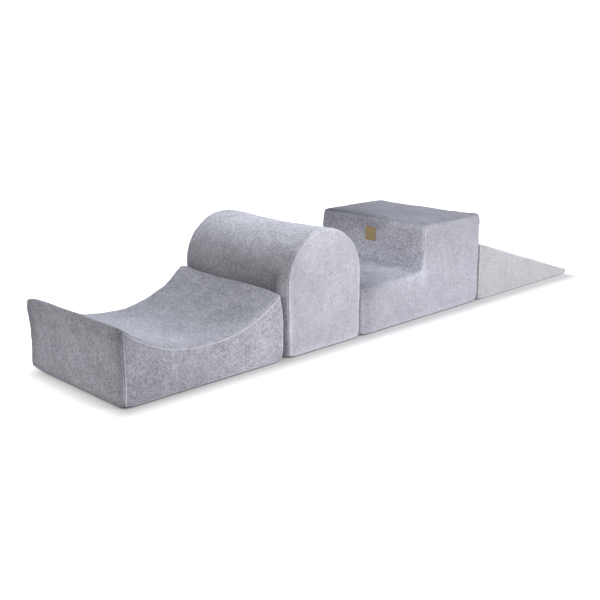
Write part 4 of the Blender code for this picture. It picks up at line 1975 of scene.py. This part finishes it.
def leather_material(sizes):
    """Tan leather with pores, worn patches and a darker edge."""
    material, tree, shader = new_material("tan_leather", roughness=0.55, specular=0.35)
    place = object_place(tree)
    grain = cells(tree, place, LEATHER_PORES)
    patches = noise(tree, place, *LEATHER_NOISE)
    share = calculate(tree, "MULTIPLY_ADD", patches, *LEATHER_WEAR)
    share = calculate(tree, "MULTIPLY_ADD", grain, PORE_SHARE, share)
    colour = mix_colours(tree, share, sizes.dark, sizes.light)
    edge = ease(tree, attribute(tree, "seam"), 0, TAG_EDGE, TAG_EDGE_TONE, 1)
    paint(tree, shader, dim(tree, colour, edge))
    roughen(tree, shader, share, low=0.68, high=0.45)
    add_bump(tree, shader, grain, distance=-0.0004, strength=0.5)
    return material


def thread_material():
    """Pale waxed thread with fine fibres."""
    material, tree, shader = new_material("pale_thread", roughness=0.6, specular=0.3)
    share = calculate(tree, "ADD", noise(tree, object_place(tree), *THREAD_NOISE), 0.5)
    paint(tree, shader, mix_colours(tree, share, *THREAD_COLOURS))
    add_bump(tree, shader, share, distance=0.0001, strength=0.5)
    return material


class PLAYROW_OT_tag(Operator):
    """Builds the leather tag on the riser, with its stitches."""

    bl_idname = "play_row.tag"
    bl_label = "Tag"

    def execute(self, context):
        sizes = context.scene.play_row_tag
        low, high = np.array(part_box("steps_tag"))
        thickness = high[0] - low[0]
        corners = [
            (low[1] + 1j * low[2], sizes.corner),
            (high[1] + 1j * low[2], sizes.corner),
            (high[1] + 1j * high[2], sizes.corner),
            (low[1] + 1j * high[2], sizes.corner),
        ]
        edge = thickness / 4
        line, groove = sizes.stitch_inset, 2 * sizes.thread
        profile = [
            (edge, 0),
            (0, edge),
            (0, thickness - edge),
            (edge, thickness),
            (line - 2 * groove, thickness),
            (line - groove, thickness - edge),
            (line + groove, thickness - edge),
            (line + 2 * groove, thickness),
        ]
        plate = make_plate(corners, profile, TAG_GRID)
        seam = np.full(len(plate.points), FAR_AWAY)
        seam[plate.sleeve[: len(profile) // 2]] = 0
        points = turn_to_riser(plate.points, high[0])
        leather = leather_material(sizes)
        piece = new_piece("steps_leather_tag", leather, points, plate.quads, seam=seam)
        add_smoothing(piece)
        declare(piece, "steps_block", "steps_tag")
        points, quads = stitches(corners, sizes, thickness - edge)
        points = turn_to_riser(points, high[0])
        piece = new_piece("steps_tag_stitches", thread_material(), points, quads)
        add_smoothing(piece)
        declare(piece, "steps_block")
        return {"FINISHED"}


def stitches(corners, sizes, height):
    """Stitches along a line inside an outline.

    Each runs between two even places of the line, and rises and thickens as the
    sine of the way gone along it.
    """
    line = outline(polygon_arcs(corners, sizes.stitch_inset))
    line = np.append(line, line[0])
    travel = running_total(abs(np.diff(line)))
    count = round(travel[-1] / (sizes.stitch_length + sizes.stitch_space))
    share = sizes.stitch_length / (sizes.stitch_length + sizes.stitch_space)
    way = np.linspace(0, 1, STITCH_POINTS)
    bow = np.sin(math.pi * way)
    shells = []
    for number in range(count):
        places = (number + share * way) / count * travel[-1]
        x, z = np.interp(places, travel, line.real), np.interp(places, travel, line.imag)
        path = np.stack((x, height + sizes.thread * bow, z), axis=1)
        radius = sizes.thread * (STITCH_END + (1 - STITCH_END) * np.sqrt(bow))
        shells.append(sweep(path, radius, WIRE_SIDES, (0, 1, 0)))
    return join_shells(shells)


GROUPS = (
    ("play_row_blocks", BlockSizes),
    ("play_row_cover", CoverSizes),
    ("play_row_velvet", VelvetLook),
    ("play_row_core", CoreSizes),
    ("play_row_zips", ZipSizes),
    ("play_row_tag", TagSizes),
    ("play_row_stage", StageLook),
)
OPERATORS = (
    PLAYROW_OT_stage,
    PLAYROW_OT_covers,
    PLAYROW_OT_cores,
    PLAYROW_OT_zips,
    PLAYROW_OT_tag,
)


class PLAYROW_PT_panel(Panel):
    """Lists the play row's operators and settings."""

    bl_label = "Play row"
    bl_space_type = "VIEW_3D"
    bl_region_type = "UI"
    bl_category = "Play row"

    def draw(self, context):
        for operator in OPERATORS:
            self.layout.operator(operator.bl_idname)
        for name, group in GROUPS:
            box = self.layout.box()
            for setting in group.__annotations__:
                box.prop(getattr(context.scene, name), setting)


def register():
    for _, group in GROUPS:
        bpy.utils.register_class(group)
    for operator in OPERATORS:
        bpy.utils.register_class(operator)
    bpy.utils.register_class(PLAYROW_PT_panel)
    for name, group in GROUPS:
        setattr(bpy.types.Scene, name, PointerProperty(type=group))


def unregister():
    for name, _ in GROUPS:
        delattr(bpy.types.Scene, name)
    bpy.utils.unregister_class(PLAYROW_PT_panel)
    for operator in reversed(OPERATORS):
        bpy.utils.unregister_class(operator)
    for _, group in reversed(GROUPS):
        bpy.utils.unregister_class(group)


def main():
    register()
    bpy.ops.play_row.stage()
    bpy.ops.play_row.covers()
    bpy.ops.play_row.cores()
    bpy.ops.play_row.zips()
    bpy.ops.play_row.tag()


if __name__ == "__main__":
    main()
